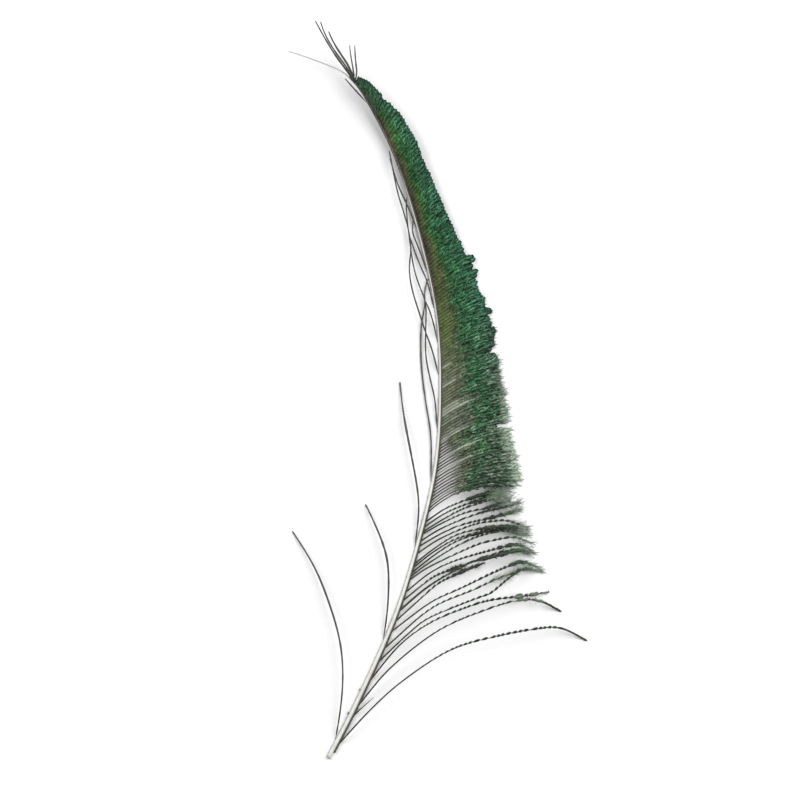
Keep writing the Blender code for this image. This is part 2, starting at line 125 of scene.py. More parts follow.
# Loose lower barbs: station, height of the arch above the surface, and the
# points (x, y) that the barb passes between the ridge and its tip.
LOOSE_BARBS = [
    (10.0, 11.0, [(-36.5, -175.5), (-18.5, -159.5), (7.0, -143.0), (32.0, -135.5),
                  (56.5, -131.0), (68.5, -131.0), (81.6, -137.5)]),
    (34.0, 10.0, [(-25.5, -152.5), (1.0, -132.0), (29.0, -120.0), (45.5, -115.5),
                  (56.5, -116.0), (67.5, -121.5)]),
    (49.0, 8.0, [(-21.0, -140.5), (-4.0, -128.0), (16.0, -119.5), (29.5, -115.5),
                 (45.5, -113.5), (61.5, -111.0)]),
    (60.0, 10.0, [(-16.0, -134.0), (-4.0, -125.0), (23.0, -114.0), (29.0, -112.0),
                  (38.0, -104.5), (46.5, -98.5), (57.0, -99.5)]),
    (68.0, 7.0, [(-4.0, -120.5), (19.5, -110.0), (32.5, -104.0), (42.5, -100.5)]),
    (78.0, 9.0, [(-4.0, -117.0), (14.0, -108.5), (29.5, -101.0), (40.0, -96.5),
                 (46.5, -94.5), (54.5, -97.0)]),
    (84.0, 4.5, [(-4.0, -110.0), (2.0, -105.5), (13.5, -100.0), (26.0, -95.0)]),
    (90.0, 8.0, [(-4.0, -107.5), (17.0, -95.5), (28.0, -92.0), (45.5, -88.0), (52.5, -89.5)]),
    (96.0, 4.0, [(-4.0, -104.0), (5.5, -99.5), (16.0, -96.0)]),
    (101.0, 9.0, [(-4.0, -100.5), (9.5, -94.0), (28.0, -88.5), (43.0, -85.0), (50.5, -87.5)]),
    (108.0, 8.0, [(-4.0, -97.0), (19.5, -86.0), (29.5, -83.0), (42.0, -81.0), (51.5, -84.0)]),
    (112.0, 7.0, [(-2.0, -91.0), (10.0, -83.5), (24.0, -78.5), (36.5, -76.5), (48.5, -79.0)]),
    (117.0, 9.0, [(-1.5, -87.0), (11.0, -79.5), (26.0, -76.0), (38.5, -75.0), (48.5, -76.5)]),
    (123.0, 8.5, [(2.0, -81.5), (20.0, -74.0), (32.5, -72.0), (39.0, -72.0), (49.0, -75.5)]),
    (127.0, 7.5, [(2.0, -79.0), (14.0, -74.0), (28.5, -70.5), (38.0, -68.0), (45.0, -66.0)]),
    (130.0, 9.0, [(1.5, -76.5), (14.0, -71.0), (25.5, -67.0), (36.5, -64.5), (44.5, -62.5)]),
    (134.0, 7.0, [(3.0, -73.0), (15.5, -67.5), (28.5, -64.5), (39.0, -60.5)]),
    (138.0, 6.0, [(3.0, -68.5), (14.0, -63.5), (24.0, -60.5), (32.5, -58.0)]),
    (141.0, 8.0, [(3.0, -66.0), (10.5, -62.5), (20.0, -59.0), (34.5, -55.0)]),
]
LOOSE_TIP_RADIUS = 0.3

# Stray barbs of the narrow side: station, and the points (x, y, height of the
# centre above the surface) that the barb passes from the shaft to its tip.
NARROW_BARBS = [
    (11.0, [(-53.6, -178.0, 5.0), (-51.9, -158.0, 7.6), (-54.0, -135.5, 8.0),
            (-64.0, -105.0, 5.0), (-71.5, -90.5, 2.4), (-79.5, -78.1, 0.5)]),
    (72.0, [(-27.3, -120.0, 4.2), (-26.8, -97.5, 6.2), (-28.7, -87.5, 6.4),
            (-36.0, -70.0, 4.0), (-39.4, -63.3, 0.5)]),
    (126.0, [(-9.9, -64.0, 3.6), (-12.0, -48.4, 5.2), (-14.8, -33.6, 5.6),
             (-17.9, -18.0, 3.8), (-19.7, -6.0, 1.8), (-20.6, 3.9, 0.5)]),
    (163.0, [(-3.6, -25.9, 1.2), (-6.6, -5.5, 1.0), (-8.9, 14.3, 0.8),
             (-9.0, 34.1, 0.9), (-6.9, 46.8, 1.1), (-7.1, 55.0, 0.9), (-5.2, 61.0, 0.7)]),
    (192.0, [(-1.4, -5.5, 2.0), (-3.9, 5.5, 2.5), (-6.4, 18.7, 2.9), (-6.5, 31.4, 3.0),
             (-6.4, 47.5, 3.0), (-9.4, 55.8, 2.9), (-12.8, 66.3, 2.9), (-15.0, 80.0, 2.9),
             (-17.2, 99.8, 3.4), (-16.9, 105.6, 4.4)]),
    (222.0, [(-2.9, 21.9, 3.0), (-6.4, 31.4, 4.6), (-10.2, 43.0, 5.4), (-14.0, 55.5, 5.8),
             (-15.6, 66.9, 5.6), (-14.6, 76.0, 5.4), (-15.4, 85.4, 5.2), (-18.4, 97.4, 5.6),
             (-22.1, 109.4, 6.2), (-26.4, 131.0, 8.0)]),
    (240.0, [(-1.8, 35.0, 2.4), (-4.6, 44.6, 4.2), (-7.0, 49.4, 4.8)]),
    (259.0, [(-5.6, 59.6, 2.2), (-9.0, 67.2, 1.9), (-12.5, 76.2, 1.6), (-14.8, 83.2, 1.4)]),
    (279.0, [(-8.8, 74.0, 2.1), (-11.5, 80.9, 3.0), (-14.0, 87.0, 4.0), (-13.5, 92.6, 4.6)]),
    (304.0, [(-14.9, 97.6, 3.4), (-18.0, 104.6, 6.0), (-22.1, 113.8, 8.0), (-26.0, 127.0, 9.8)]),
    (379.0, [(-45.6, 165.4, 11.4), (-50.6, 171.1, 12.0)]),
]
NARROW_ROOT_RADIUS = 0.32
NARROW_ROOT_GAP = -0.1          # less than nothing: the fine barbs' roots reach into the shaft
# Radii of the fine stray barbs at the root, past the middle and at the tip: of the
# three long ones below the web, which are smoothed more, and of the others.
LOW_STRAY_RADII = (0.4, 0.6, 0.36)
LOW_STRAY_SMOOTHING = 260
STRAY_RADII = (0.43, 0.4, 0.3)
STRAY_STEP = 0.6                # distance between the rings of a stray barb

# Barbs that fan out past the tip: the tip (x, y, height) and the two headings.
TIP_BARBS = [
    ((-67.0, 202.7, 17.0), 132.0, 118.0),
    ((-64.2, 202.2, 19.5), 126.0, 104.0),
    ((-59.7, 196.9, 13.0), 118.0, 108.0),
    ((-48.3, 189.4, 15.2), 98.0, 93.0),
    ((-45.5, 189.4, 13.0), 100.0, 92.0),
    ((-81.6, 186.2, 8.0), 158.0, 164.0),
]
TIP_ROOTS = [
    (-48.6, 174.3, 14.2), (-48.0, 174.9, 15.3), (-47.4, 175.6, 12.6),
    (-46.2, 175.2, 14.6), (-44.2, 174.8, 13.2), (-51.0, 174.9, 12.9),
]
TIP_ARCH = 1.0
TIP_RADII = [(0.5, 0.42, 0.3), (0.5, 0.42, 0.3), (0.62, 0.5, 0.36), (0.5, 0.38, 0.22),
             (0.5, 0.38, 0.22), (0.42, 0.34, 0.26)]
TIP_FOOT = np.array([-45.6, 168.2, 12.6])       # where the tip's barbs come together
TIP_RINGS = 48                  # rings from a tip barb's root to its tip
TIP_FOOT_RINGS = 12             # and from the common foot to its root

# ---- the fine pieces' sizes

UP = np.array([0.0, 0.0, 1.0])
FLOOR_CLEARANCE = 0.04          # how far a barb stays above the floor
STEM_CREST = np.array([0.0, 1.0, 0.0, 1.0])     # mark on a ribbon's edges and crests
HAIR_CREST = np.array([0.25, 0.25, 0.25])
SMOOTHING = 40                  # rounds of smoothing that take the corners off a line
WHITE = (1.0, 1.0, 1.0)

# Seeds of the random draws. The seed of a piece of the web is its lowest station.
STUBBLE_SEED = 3
TIP_TUFT_SEED = 8
LOOSE_SEED = 19
NARROW_SEED = 40                # of the first stray barb, and the others count on from it
TIP_SEED = 60                   # of the first tip barb
# Spread of the normal draws: of a web barb's length as a share, its heading in degrees,
# its height and its bare share, of a loose barb's height, and of how light any barb is.
LENGTH_CHANCE = 0.012
HEADING_CHANCE = 0.25
HEIGHT_CHANCE = 0.16
BARE_CHANCE = 0.035
LOOSE_HEIGHT_CHANCE = 0.5
SHADE_CHANCE = 0.3
# Distances along a barb over which its smooth chance changes.
BEND_CELL = 3.4
WIDTH_CELL = 2.5
SHADE_CELL = 2.0
SWELL_CELL = 3.0
DASH_CELL = 6.0
TUFT_CELL = 1.6
FILL_CELL = 1.2
TURN_CELL = 5.0

# Barbules: least and most place of a root in its own stretch of the barb, least and most
# length as a share of the reach, and the spread of the forward angle as a share of the lift's.
BLADE_PLACES = (0.1, 0.9)
BLADE_LENGTHS = (0.7, 1.2)
FORWARD_STRAY = 0.6
BARBULE_STRAY = 13.0            # degrees that single barbules stray
# Fine hairs: points along each, least and most length as a share of the reach, how far
# they bend by chance and droop as shares of their length, and the radius at the tip as a
# share of that at the root.
HAIR_POINTS = 5
HAIR_LENGTHS = (0.5, 1.2)
HAIR_BEND = 0.15
HAIR_DROOP = 0.12
HAIR_TAPER = 0.4

# Where each kind of tube lies on its piece's flat net: the lower and the upper corner.
WHOLE_NET = ((0.0, 0.0), (1.0, 1.0))
RIDGE_NETS = {"ridge": ((0.0, 0.0), (0.8, 1.0)), "stubs": ((0.8, 0.0), (1.0, 1.0))}
WEB_NETS = {"stems": ((0.0, 0.0), (0.4, 1.0)), "fringe": ((0.4, 0.0), (0.5, 1.0)),
            "barbules": ((0.5, 0.5), (1.0, 1.0)), "leaves": ((0.5, 0.0), (1.0, 0.5))}
LOOSE_NETS = {"stems": ((0.0, 0.0), (0.5, 0.7)), "barbules": ((0.5, 0.0), (1.0, 0.7)),
              "fans": ((0.0, 0.7), (0.25, 1.0)), "tufts": ((0.25, 0.7), (0.5, 1.0)),
              "leaves": ((0.5, 0.7), (1.0, 1.0))}
SINGLE_NETS = {"stem": ((0.0, 0.0), (0.5, 1.0)), "barbules": ((0.5, 0.0), (1.0, 1.0))}
NET_MARGIN = 0.05               # bare border round a tube's net, as a share of its cell

# Web: distance between barb roots, the share of a barb that is bare at its root,
# and the share over which its barbules then grow to full length, by station.
SPACING_KEYS = np.array([
    (143.0, 2.2), (150.0, 2.15), (163.0, 2.0), (176.0, 1.75), (240.0, 1.75), (300.0, 2.0),
    (370.0, 2.0), (380.0, 1.1), (392.0, 0.9)])
BARE_KEYS = np.array([
    (143.0, 0.19, 0.3), (158.0, 0.19, 0.3), (170.0, 0.14, 0.3), (180.0, 0.06, 0.3),
    (190.0, -0.08, 0.25), (204.0, -0.2, 0.15), (262.0, -0.2, 0.1), (392.0, -0.2, 0.1)])
# Barbs of the web that are pale from the ridge on: station, and share of the length.
PALE_BARBS = [(166.0, 0.7), (175.0, 0.8), (184.0, 0.62), (198.0, 0.7), (215.0, 0.5), (225.0, 0.45)]
# How pale the other barbs of the web can be beside the ridge, by station.
RAY_KEYS = np.array([(143.0, 0.9), (212.0, 0.9), (228.0, 0.45), (250.0, 0.2), (392.0, 0.2)])
WEB_PIECES = {"lower_web": (143.0, 206.0), "middle_web": (206.0, 282.0), "upper_web": (282.0, 392.0)}
WEB_STEP = 0.55                 # distance between the rings of a web barb
ROOT_STEPS = 2000               # steps in which the barbs' roots are counted out
WEB_STEM_TAPER = 0.4            # share of its radius that a web barb's stem loses
CALM_STATIONS = (366.0, 380.0)  # between these, the barbs' bends and rocking die away
STEADY_STATIONS = (240.0, 300.0)    # between these, the bends grow smaller
STEADY_LOSS = 0.4               # share of the bends that is then gone
RIM_START = 0.3                 # distance from a web barb's end that is all rim
RIM_KEYS = np.array([(180.0, 8.5), (205.0, 5.0), (250.0, 2.2)])     # depth of the rim, by station
# Number of fine hairs that fringe the end of each web barb, by station, and then the
# shares of the barb that they grow between, their reach, radius and spread in degrees.
FRINGE = np.array([(143.0, 76.0), (172.0, 64.0), (182.0, 26.0), (192.0, 14.0), (215.0, 9.0),
                   (248.0, 3.0), (262.0, 0.0)])
FRINGE_HAIR = ((0.9, 1.0), 3.6, 0.075, 14.0)
BEND_STATIONS = (350.0, 390.0)  # between these, barbs bend more and more towards the shaft
BEND_SHIFT = 11.0               # how much further along the edge the last barb ends
BEND_TURN = 42.0                # degrees that the last barb's two ends turn
# Degrees that the leaf-like bundles stray, and that they turn left, by station.
LEAF_STRAY = np.array([(143.0, 32.0), (200.0, 28.0), (240.0, 22.0), (300.0, 18.0), (392.0, 8.0)])
LEAF_TURN = np.array([(143.0, 0.0), (200.0, 4.0), (250.0, 14.0), (350.0, 14.0), (392.0, 0.0)])
WEB_START = 145.2               # the lowest barb grows here
# How the lowest web barbs are bent: station, half width, degrees that their tips
# droop, and degrees that their two ends arch.
DROOP = (143.0, 9.0, -2.6, 9.0)
# Barbs that stand proud of the edge or fall short of it: station, half width of the
# lock, and length.
LOCKS = [(368.5, 1.8, -1.5), (343.0, 5.0, 0.6), (272.5, 2.6, 4.2), (265.5, 1.5, 2.8),
         (251.0, 1.5, 1.2), (243.8, 1.9, 2.4), (232.0, 1.5, 1.4), (222.4, 1.3, -4.2),
         (216.0, 2.6, 1.0), (198.0, 1.8, 1.0), (184.0, 2.2, 1.2), (179.0, 1.3, -6.3),
         (160.0, 0.9, -3.0)]

# Loose barbs added between two of the named ones: the lower one's place in
# LOOSE_BARBS, and how far towards the next its root and its tip are.
BETWEEN_BARBS = [(7, 0.1, 0.08), (10, 0.5, 0.8), (11, 0.6, 0.1), (16, 0.35, 0.75)]
# Tufts and clumps: place in LOOSE_BARBS, share of the length, half length, and how
# much wider the barb is there.
TUFTS = [(1, 0.825, 0.024, 0.35), (1, 0.89, 0.02, 0.35), (2, 0.842, 0.018, 0.9),
         (2, 0.922, 0.018, 0.85), (2, 0.98, 0.014, 0.6), (3, 0.88, 0.08, 0.4),
         (5, 0.88, 0.08, 0.4), (6, 0.82, 0.17, 0.25), (7, 0.76, 0.16, 1.0),
         (8, 0.85, 0.13, 0.25), (9, 0.83, 0.1, 0.3), (11, 0.74, 0.18, 0.7),
         (12, 0.76, 0.16, 0.7), (14, 0.8, 0.14, 0.4), (15, 0.75, 0.15, 0.2),
         (16, 0.85, 0.12, 0.3), (17, 0.8, 0.15, 0.5), (18, 0.75, 0.18, 0.6)]
TUFT_CHANCE = 0.7               # how uneven a tuft is, as a share of its width
TUFT_HAIRS = 700                # hairs on a tuft as long as the whole barb
TUFT_HAIR = (1.9, 0.13, 60.0)   # their reach, radius and spread in degrees
TUFT_LEAF_REACH = 1.35          # length of a tuft's bundles as a share of the half width
NECK_RADIUS = 0.2               # radius of a loose barb between two dashes
DASH_PITCHES = (0.78, 1.2)      # least and most distance between dashes, as shares of the setting
DASH_CHANCE = 0.55              # how unevenly they follow, as a share of that distance
DASH_SLANT = 0.45               # how far a dash's end is to the side of its start
RIBBON_CHANCE = 0.2             # spread of the barbs' widths, as a share
LOOSE_BARE = 0.12               # share of a loose barb that has no barbules
LOOSE_TURN = 20.0               # degrees that the dashes turn each way
TAIL_SWELL = 0.2                # how much thicker a smooth tail is
# Loose barbs that end beyond this X, and grow above this station, end in a fan of hairs.
FAN_BEYOND = 28.0
FAN_FROM = 55.0
# Number of hairs in a fan, by station, and then their reach, by station, the shares of
# the barb that they grow between, their radius and their spread in degrees.
FAN = np.array([(60.0, 125.0), (82.0, 90.0), (105.0, 55.0), (119.0, 50.0), (127.0, 95.0),
                (134.0, 100.0), (141.0, 190.0)])
FAN_REACH = np.array([(125.0, 5.5), (134.0, 7.0), (141.0, 11.5)])
FAN_PLACES = (0.8, 1.0)
FAN_HAIR = (0.105, 18.0)
TAILED_BELOW = 40.0             # loose barbs below this station end in a smooth dark tail

# How bright the web is, by share of the shaft's length.
WEB_LEVELS = [(0.0, 0.86), (0.5, 0.84), (0.66, 0.72), (0.84, 0.72), (0.89, 0.86), (0.93, 0.55)]
# Patches of colour low on the web: middle (x, y), heading, half length, half width,
# name of the colour, and strength.
PATCHES = [(15.0, -42.0, 75.0, 19.0, 6.5, "patch_brown", 0.7),
           (27.0, -13.0, 80.0, 21.0, 6.0, "patch_green", 1.3),
           (20.5, -44.0, 68.0, 12.0, 2.6, "patch_green", 1.5),
           (24.7, -31.5, 78.0, 6.5, 1.6, "patch_bright", 1.4)]

# Dark tuft where the web ends: number of stems, least and most station, heading and
# length, and then the radius, the height above the ridge and the climb of each.
TIP_TUFT = (84, (367.0, 393.5), (58.0, 124.0), (3.0, 6.0), 0.3, 1.5, 0.16)

# A broken barb and the nubs of lost ones: station, side, length and heading.
STUBS = [(26.3, 1, 15.5, 42.0), (26.6, -1, 1.3, 110.0), (17.0, 1, 1.0, 30.0),
         (40.0, 1, 0.9, 35.0), (41.0, -1, 1.0, 110.0)]
STUB_RADIUS = 0.5
STUB_CLIMB = 0.12
RIGHT_STUB_ROOT = (0.2, 1, 0.05)    # where they grow: radius, side and gap, for shoulder_at
LEFT_STUB_ROOT = (0.1, -1, -0.05)

# Stubble of the trimmed side: least and most station, degrees off the shaft and length,
# and then the radius, the climb and the gap between a root and the shaft's side.
STUBBLE = ((6.0, 350.0), (20.0, 60.0), (0.25, 0.6), 0.16, 0.1, -0.08)

# Short barbules of the stray barbs and of the tip's: the bare share, the shares between
# which they grow to full length, that length, and their width.
BARBULE_SPACING = 0.5
NARROW_BARBULES = (0.12, (0.1, 0.4), 0.45, 0.22)
TIP_BARBULES = (0.05, (0.0, 0.3), 0.4, 0.2)

# Studio, in metres: the soft lights' width and place (x, y, z), the camera's height,
# and half the width of the floor.
KEY_LIGHT = (2.2, (1.6, 0.6, 2.3))
FILL_LIGHT = (1.6, (-1.5, 1.1, 2.0))
CAMERA_HEIGHT = 1.0
FLOOR_HALF = 3.0


def smooth_through(points, steps):
    """Catmull-Rom curve through rows of numbers, as steps + 1 evenly spread rows."""
    rows = np.array(points, dtype=float)
    rows = np.vstack([2 * rows[0] - rows[1], rows, 2 * rows[-1] - rows[-2]])
    spans = len(rows) - 3
    place = np.linspace(0.0, spans, steps + 1)
    first = np.minimum(place.astype(int), spans - 1)
    t = (place - first)[:, None]
    a, b, c, d = (rows[first + k] for k in range(4))
    return 0.5 * (2 * b + (c - a) * t + (2 * a - 5 * b + 4 * c - d) * t ** 2
                  + (3 * b - a - 3 * c + d) * t ** 3)


FINE_STEPS = 400
FINE_LINE = smooth_through(SHAFT_POINTS, FINE_STEPS)
FINE_STATION = np.concatenate(
    [[0.0], np.cumsum(np.linalg.norm(np.diff(FINE_LINE[:, :2], axis=0), axis=1))])
FINE_HEADING = np.unwrap(np.arctan2(np.gradient(FINE_LINE[:, 1]), np.gradient(FINE_LINE[:, 0])))
SHAFT_LENGTH = FINE_STATION[-1]


# ---- places on the feather

def ease(value, low, high):
    """0 below low, 1 above high, and 3t^2 - 2t^3 between them."""
    t = np.clip((value - low) / (high - low), 0.0, 1.0)
    return t * t * (3 - 2 * t)


def bell(value, middle, half, power=2):
    """1 in the middle and 1/e at half to each side of it. A power of 4 gives a flat top."""
    return np.exp(-((value - middle) / half) ** power)


def by_station(station, keys, column=1):
    """A column of a table of keys, read off between the stations of its first column."""
    return np.interp(station, keys[:, 0], keys[:, column])


def rise(station):
    """Height of the shaft's underside: flat, then a power curve up to the tip."""
    share = np.clip((station - FLAT_LENGTH) / (SHAFT_LENGTH - FLAT_LENGTH), 0.0, 1.0)
    return TIP_RISE * share ** TIP_RISE_POWER


def shaft_at(station):
    """Centre (x, y), width and heading of the shaft at a distance along it."""
    x = np.interp(station, FINE_STATION, FINE_LINE[:, 0])
    y = np.interp(station, FINE_STATION, FINE_LINE[:, 1])
    width = np.interp(station, FINE_STATION, FINE_LINE[:, 2])
    heading = np.interp(station, FINE_STATION, FINE_HEADING)
    return x, y, width, heading


def ridge_radius(station):
    """Radius of the root ridge, tapering from the quill to the tip."""
    share = station / SHAFT_LENGTH
    return RIDGE_RADIUS_BASE + (RIDGE_RADIUS_TIP - RIDGE_RADIUS_BASE) * share


def shoulder_at(station, radius, side, gap=GAP):
    """Centre (x, y, z) of a round piece that is gap away from the shaft's shoulder."""
    x, y, width, heading = shaft_at(station)
    reach = width / 2 + gap + radius
    out = side * reach * np.cos(np.radians(SHOULDER))
    height = rise(station) + SECTION_MIDDLE * width + reach * np.sin(np.radians(SHOULDER))
    return np.stack([x + out * np.sin(heading), y - out * np.cos(heading), height], -1)


def ridge_at(station):
    """Centre of the root ridge."""
    return shoulder_at(station, ridge_radius(station), 1)


def barb_line(root, leave, tip, arrive, arch, t):
    """Cubic Hermite curve in plan, with a parabola of height arch added on top."""
    chord = np.linalg.norm((tip - root)[..., :2], axis=-1)[..., None]
    leave, arrive = np.radians(leave)[..., None], np.radians(arrive)[..., None]
    start = chord * np.concatenate([np.cos(leave), np.sin(leave)], -1)
    end = chord * np.concatenate([np.cos(arrive), np.sin(arrive)], -1)
    blend = t * t * (3 - 2 * t)
    plan = ((1 - blend) * root[..., :2] + blend * tip[..., :2]
            + t * (1 - t) ** 2 * start - t * t * (1 - t) * end)
    height = (1 - t) * root[..., 2:] + t * tip[..., 2:] + 4 * arch[..., None] * t * (1 - t)
    return np.concatenate([plan, height], -1)


# ---- tubes, stems and barbules

class Stems(NamedTuple):
    """Many barbs at once. Each array holds one row for a barb and a column for a place on it."""

    line: np.ndarray            # centre (x, y, z)
    wide_axis: np.ndarray       # unit vector along the ribbon's width
    thin_axis: np.ndarray       # unit vector across it
    wide: np.ndarray            # half width of the ribbon
    thin: np.ndarray            # half thickness
    marks: dict                 # values that the materials read, by name


class Shape(NamedTuple):
    """Points and faces of a mesh, with the corners' places on the flat net and the marks."""

    points: np.ndarray
    quads: np.ndarray
    triangles: np.ndarray
    quad_net: np.ndarray
    triangle_net: np.ndarray
    marks: dict
    smooth: np.ndarray          # whether its faces are: one value for all, or one for each


class Blade(NamedTuple):
    """Form of one kind of barbule, or bundle of them."""

    spacing: float              # distance between roots on one edge of a ribbon
    width: float
    depth: float                # thickness as a share of the width
    forward: float              # degrees between the blade and its barb
    turn: np.ndarray            # degrees that the blades of both edges turn left, by barb or for all
    stray: np.ndarray           # degrees of chance, by barb or for all
    rings: np.ndarray           # shares of the length where the blade's sections are
    swell: np.ndarray           # width of each section as a share of the whole width
    crest: np.ndarray           # marks round a section
    offset: tuple               # least and most share of the ribbon's half width at the root


TUFT_LEAF = Blade(spacing=0.95, width=0.95, depth=0.25, forward=28.0, turn=0.0, stray=26.0,
                  rings=np.array([0.3, 0.75]), swell=np.array([0.9, 0.75]), crest=STEM_CREST,
                  offset=(0.0, 0.8))


def single_barbule(spacing, width):
    """Form of thin single barbules."""
    return Blade(spacing, width, depth=0.25, forward=36.0, turn=0.0, stray=BARBULE_STRAY,
                 rings=np.array([0.35]), swell=np.array([1.0]), crest=HAIR_CREST,
                 offset=(0.4, 0.7))


def unit(vectors):
    """Vectors scaled to length one."""
    return vectors / np.maximum(np.linalg.norm(vectors, axis=-1, keepdims=True), 1e-9)


def axes_along(line, turn):
    """Tangent of each line, and the ribbon's two axes turned about it by the angle turn.

    Unturned, the wide axis is level and the thin one points up.
    """
    tangent = unit(np.gradient(line, axis=1))
    level = unit(np.cross(UP, tangent))
    above = np.cross(tangent, level)
    cos, sin = np.cos(turn)[..., None], np.sin(turn)[..., None]
    return tangent, cos * level + sin * above, cos * above - sin * level


def moved_aside(line, distance):
    """Lines moved to their left, level, by the distance at each place."""
    _, level, _ = axes_along(line, np.zeros(line.shape[:2]))
    return line + distance[..., None] * level


def off_floor(line, wide, thin, turn):
    """Heights of a line that keep its turned ribbon off the floor."""
    return np.maximum(line[..., 2], FLOOR_CLEARANCE + wide * np.abs(np.sin(turn)) + thin)


def run_along(line):
    """Distance along each line at each of its points."""
    steps = np.linalg.norm(np.diff(line, axis=1), axis=-1)
    return np.concatenate([np.zeros((len(line), 1)), np.cumsum(steps, axis=1)], axis=1)


def chance_along(run, cell, draw):
    """Smooth chance between -1 and 1 along each line, with a new value in each cell of it."""
    knots = draw.uniform(-1.0, 1.0, (len(run), int(run.max() / cell) + 3))
    place = run / cell + draw.uniform(0.0, 1.0, (len(run), 1))
    first = place.astype(int)
    part = ease(place - first, 0.0, 1.0)
    row = np.arange(len(run))[:, None]
    return (1 - part) * knots[row, first] + part * knots[row, first + 1]


def round_stems(line, radius, marks, depth=1.0):
    """Unturned stems, whose thickness is depth times their width."""
    _, wide_axis, thin_axis = axes_along(line, np.zeros(line.shape[:2]))
    return Stems(line, wide_axis, thin_axis, radius, depth * radius, marks)


def stations_of(stems):
    """Station at which each of the stems grows."""
    return stems.marks["along"][:, 0] * SHAFT_LENGTH


def one_tube(rows, sides):
    """Faces of one tube that closes in a point at each end, and its flat net.

    Vertices run ring by ring, then the near and the far point. On the net, a corner's place is (ring,
    side), and the corners where the ring closes on itself get one side more.
    """
    ring, side = (grid.ravel() for grid in np.meshgrid(np.arange(rows - 1), np.arange(sides),
                                                       indexing="ij"))
    corners = [(ring, side), (ring, side + 1), (ring + 1, side + 1), (ring + 1, side)]
    quads = np.stack([j * sides + k % sides for j, k in corners], 1)
    quad_net = np.stack([np.stack([j + 1, k], 1) for j, k in corners], 1)

    side = np.arange(sides)
    near, far, last = rows * sides, rows * sides + 1, rows - 1
    low = np.stack([np.full(sides, near), (side + 1) % sides, side], 1)
    high = np.stack([np.full(sides, far), last * sides + side, last * sides + (side + 1) % sides], 1)
    low_net = np.stack([np.stack([0 * side, side + 0.5], 1), np.stack([0 * side + 1, side + 1], 1),
                        np.stack([0 * side + 1, side], 1)], 1)
    high_net = np.stack([np.stack([0 * side + rows + 1, side + 0.5], 1),
                         np.stack([0 * side + rows, side], 1),
                         np.stack([0 * side + rows, side + 1], 1)], 1)
    size = np.array([rows + 1.0, sides])
    return (quads, np.concatenate([low, high]), quad_net / size,
            np.concatenate([low_net, high_net]) / size)


def place_on_net(net, count, area):
    """Repeat one tube's net in a grid of count cells in an area of the unit square."""
    columns = int(np.ceil(np.sqrt(count)))
    cell = np.arange(count)
    corner = np.stack([cell % columns, cell // columns], 1)[:, None, None]
    spread = (corner + NET_MARGIN + (1 - 2 * NET_MARGIN) * net[None]) / columns
    low, high = np.array(area)
    return low + (high - low) * spread


def net_cell(area, index, count):
    """One cell of an area of the net that is cut in a square grid of at least count cells."""
    low, high = np.array(area)
    columns = int(np.ceil(np.sqrt(count)))
    size = (high - low) / columns
    corner = low + size * (index % columns, index // columns)
    return corner, corner + size


def tubes(stems, near, far, crest, smooth, area):
    """Closed tubes round all the stems, with their ends drawn to the near and far points.

    A ring's point is line + wide cos(angle) wide_axis + thin sin(angle) thin_axis,
    and it has as many points as there are numbers in crest, the mark of each. The
    area is the part of the flat net that the tubes fill.
    """
    sides = len(crest)
    count, rows = stems.line.shape[:2]
    angle = 2 * np.pi * np.arange(sides) / sides
    ring = (stems.line[:, :, None]
            + (stems.wide[..., None] * np.cos(angle))[..., None] * stems.wide_axis[:, :, None]
            + (stems.thin[..., None] * np.sin(angle))[..., None] * stems.thin_axis[:, :, None])
    points = np.concatenate([ring.reshape(count, -1, 3), near[:, None], far[:, None]], axis=1)
    quads, triangles, quad_net, triangle_net = one_tube(rows, sides)
    first = points.shape[1] * np.arange(count)[:, None, None]
    marks = {name: np.concatenate([np.repeat(value, sides, axis=1), value[:, :1], value[:, -1:]],
                                  axis=1).ravel()
             for name, value in stems.marks.items()}
    marks["crest"] = np.tile(np.concatenate([np.tile(crest, rows), [crest.mean(), crest.mean()]]),
                             count)
    return Shape(points.reshape(-1, 3), (quads + first).reshape(-1, 4),
                 (triangles + first).reshape(-1, 3),
                 place_on_net(quad_net, count, area).reshape(-1, 4, 2),
                 place_on_net(triangle_net, count, area).reshape(-1, 3, 2), marks, smooth)


def stem_tubes(stems, area=WHOLE_NET):
    """Tubes of the stems themselves, closed flat at the root and in a point at the end."""
    near = stems.line[:, 0]
    step = unit(stems.line[:, -1] - stems.line[:, -2])
    far = stems.line[:, -1] + step * stems.wide[:, -1:] * 2
    far[:, 2] = np.maximum(far[:, 2], FLOOR_CLEARANCE)
    return tubes(stems, near, far, STEM_CREST, True, area)


def hair_tubes(hairs, area):
    """Tubes of fine hairs, closed flat at both ends."""
    return tubes(hairs, hairs.line[:, 0], hairs.line[:, -1], HAIR_CREST, True, area)


def sample(values, which, place):
    """Value of row which at the share place along it, between the two nearest columns."""
    at = place * (values.shape[1] - 1)
    column = np.minimum(at.astype(int), values.shape[1] - 2)
    part = (at - column).reshape((-1,) + (1,) * (values.ndim - 2))
    return (1 - part) * values[which, column] + part * values[which, column + 1]


def blade_roots(length, start, spacing, draw):
    """Barb, share of its length and side of each blade: all of one edge, then of the other."""
    each = np.maximum(((1 - start) * length / spacing).astype(int), 1)
    which = np.repeat(np.arange(len(each)), each)
    order = np.arange(len(which)) - np.repeat(np.cumsum(each) - each, each)
    which, order = np.tile(which, 2), np.tile(order, 2)
    side = np.repeat([1.0, -1.0], len(which) // 2)
    chance = draw.uniform(*BLADE_PLACES, len(which))
    return which, start[which] + (1 - start[which]) * (order + chance) / each[which], side


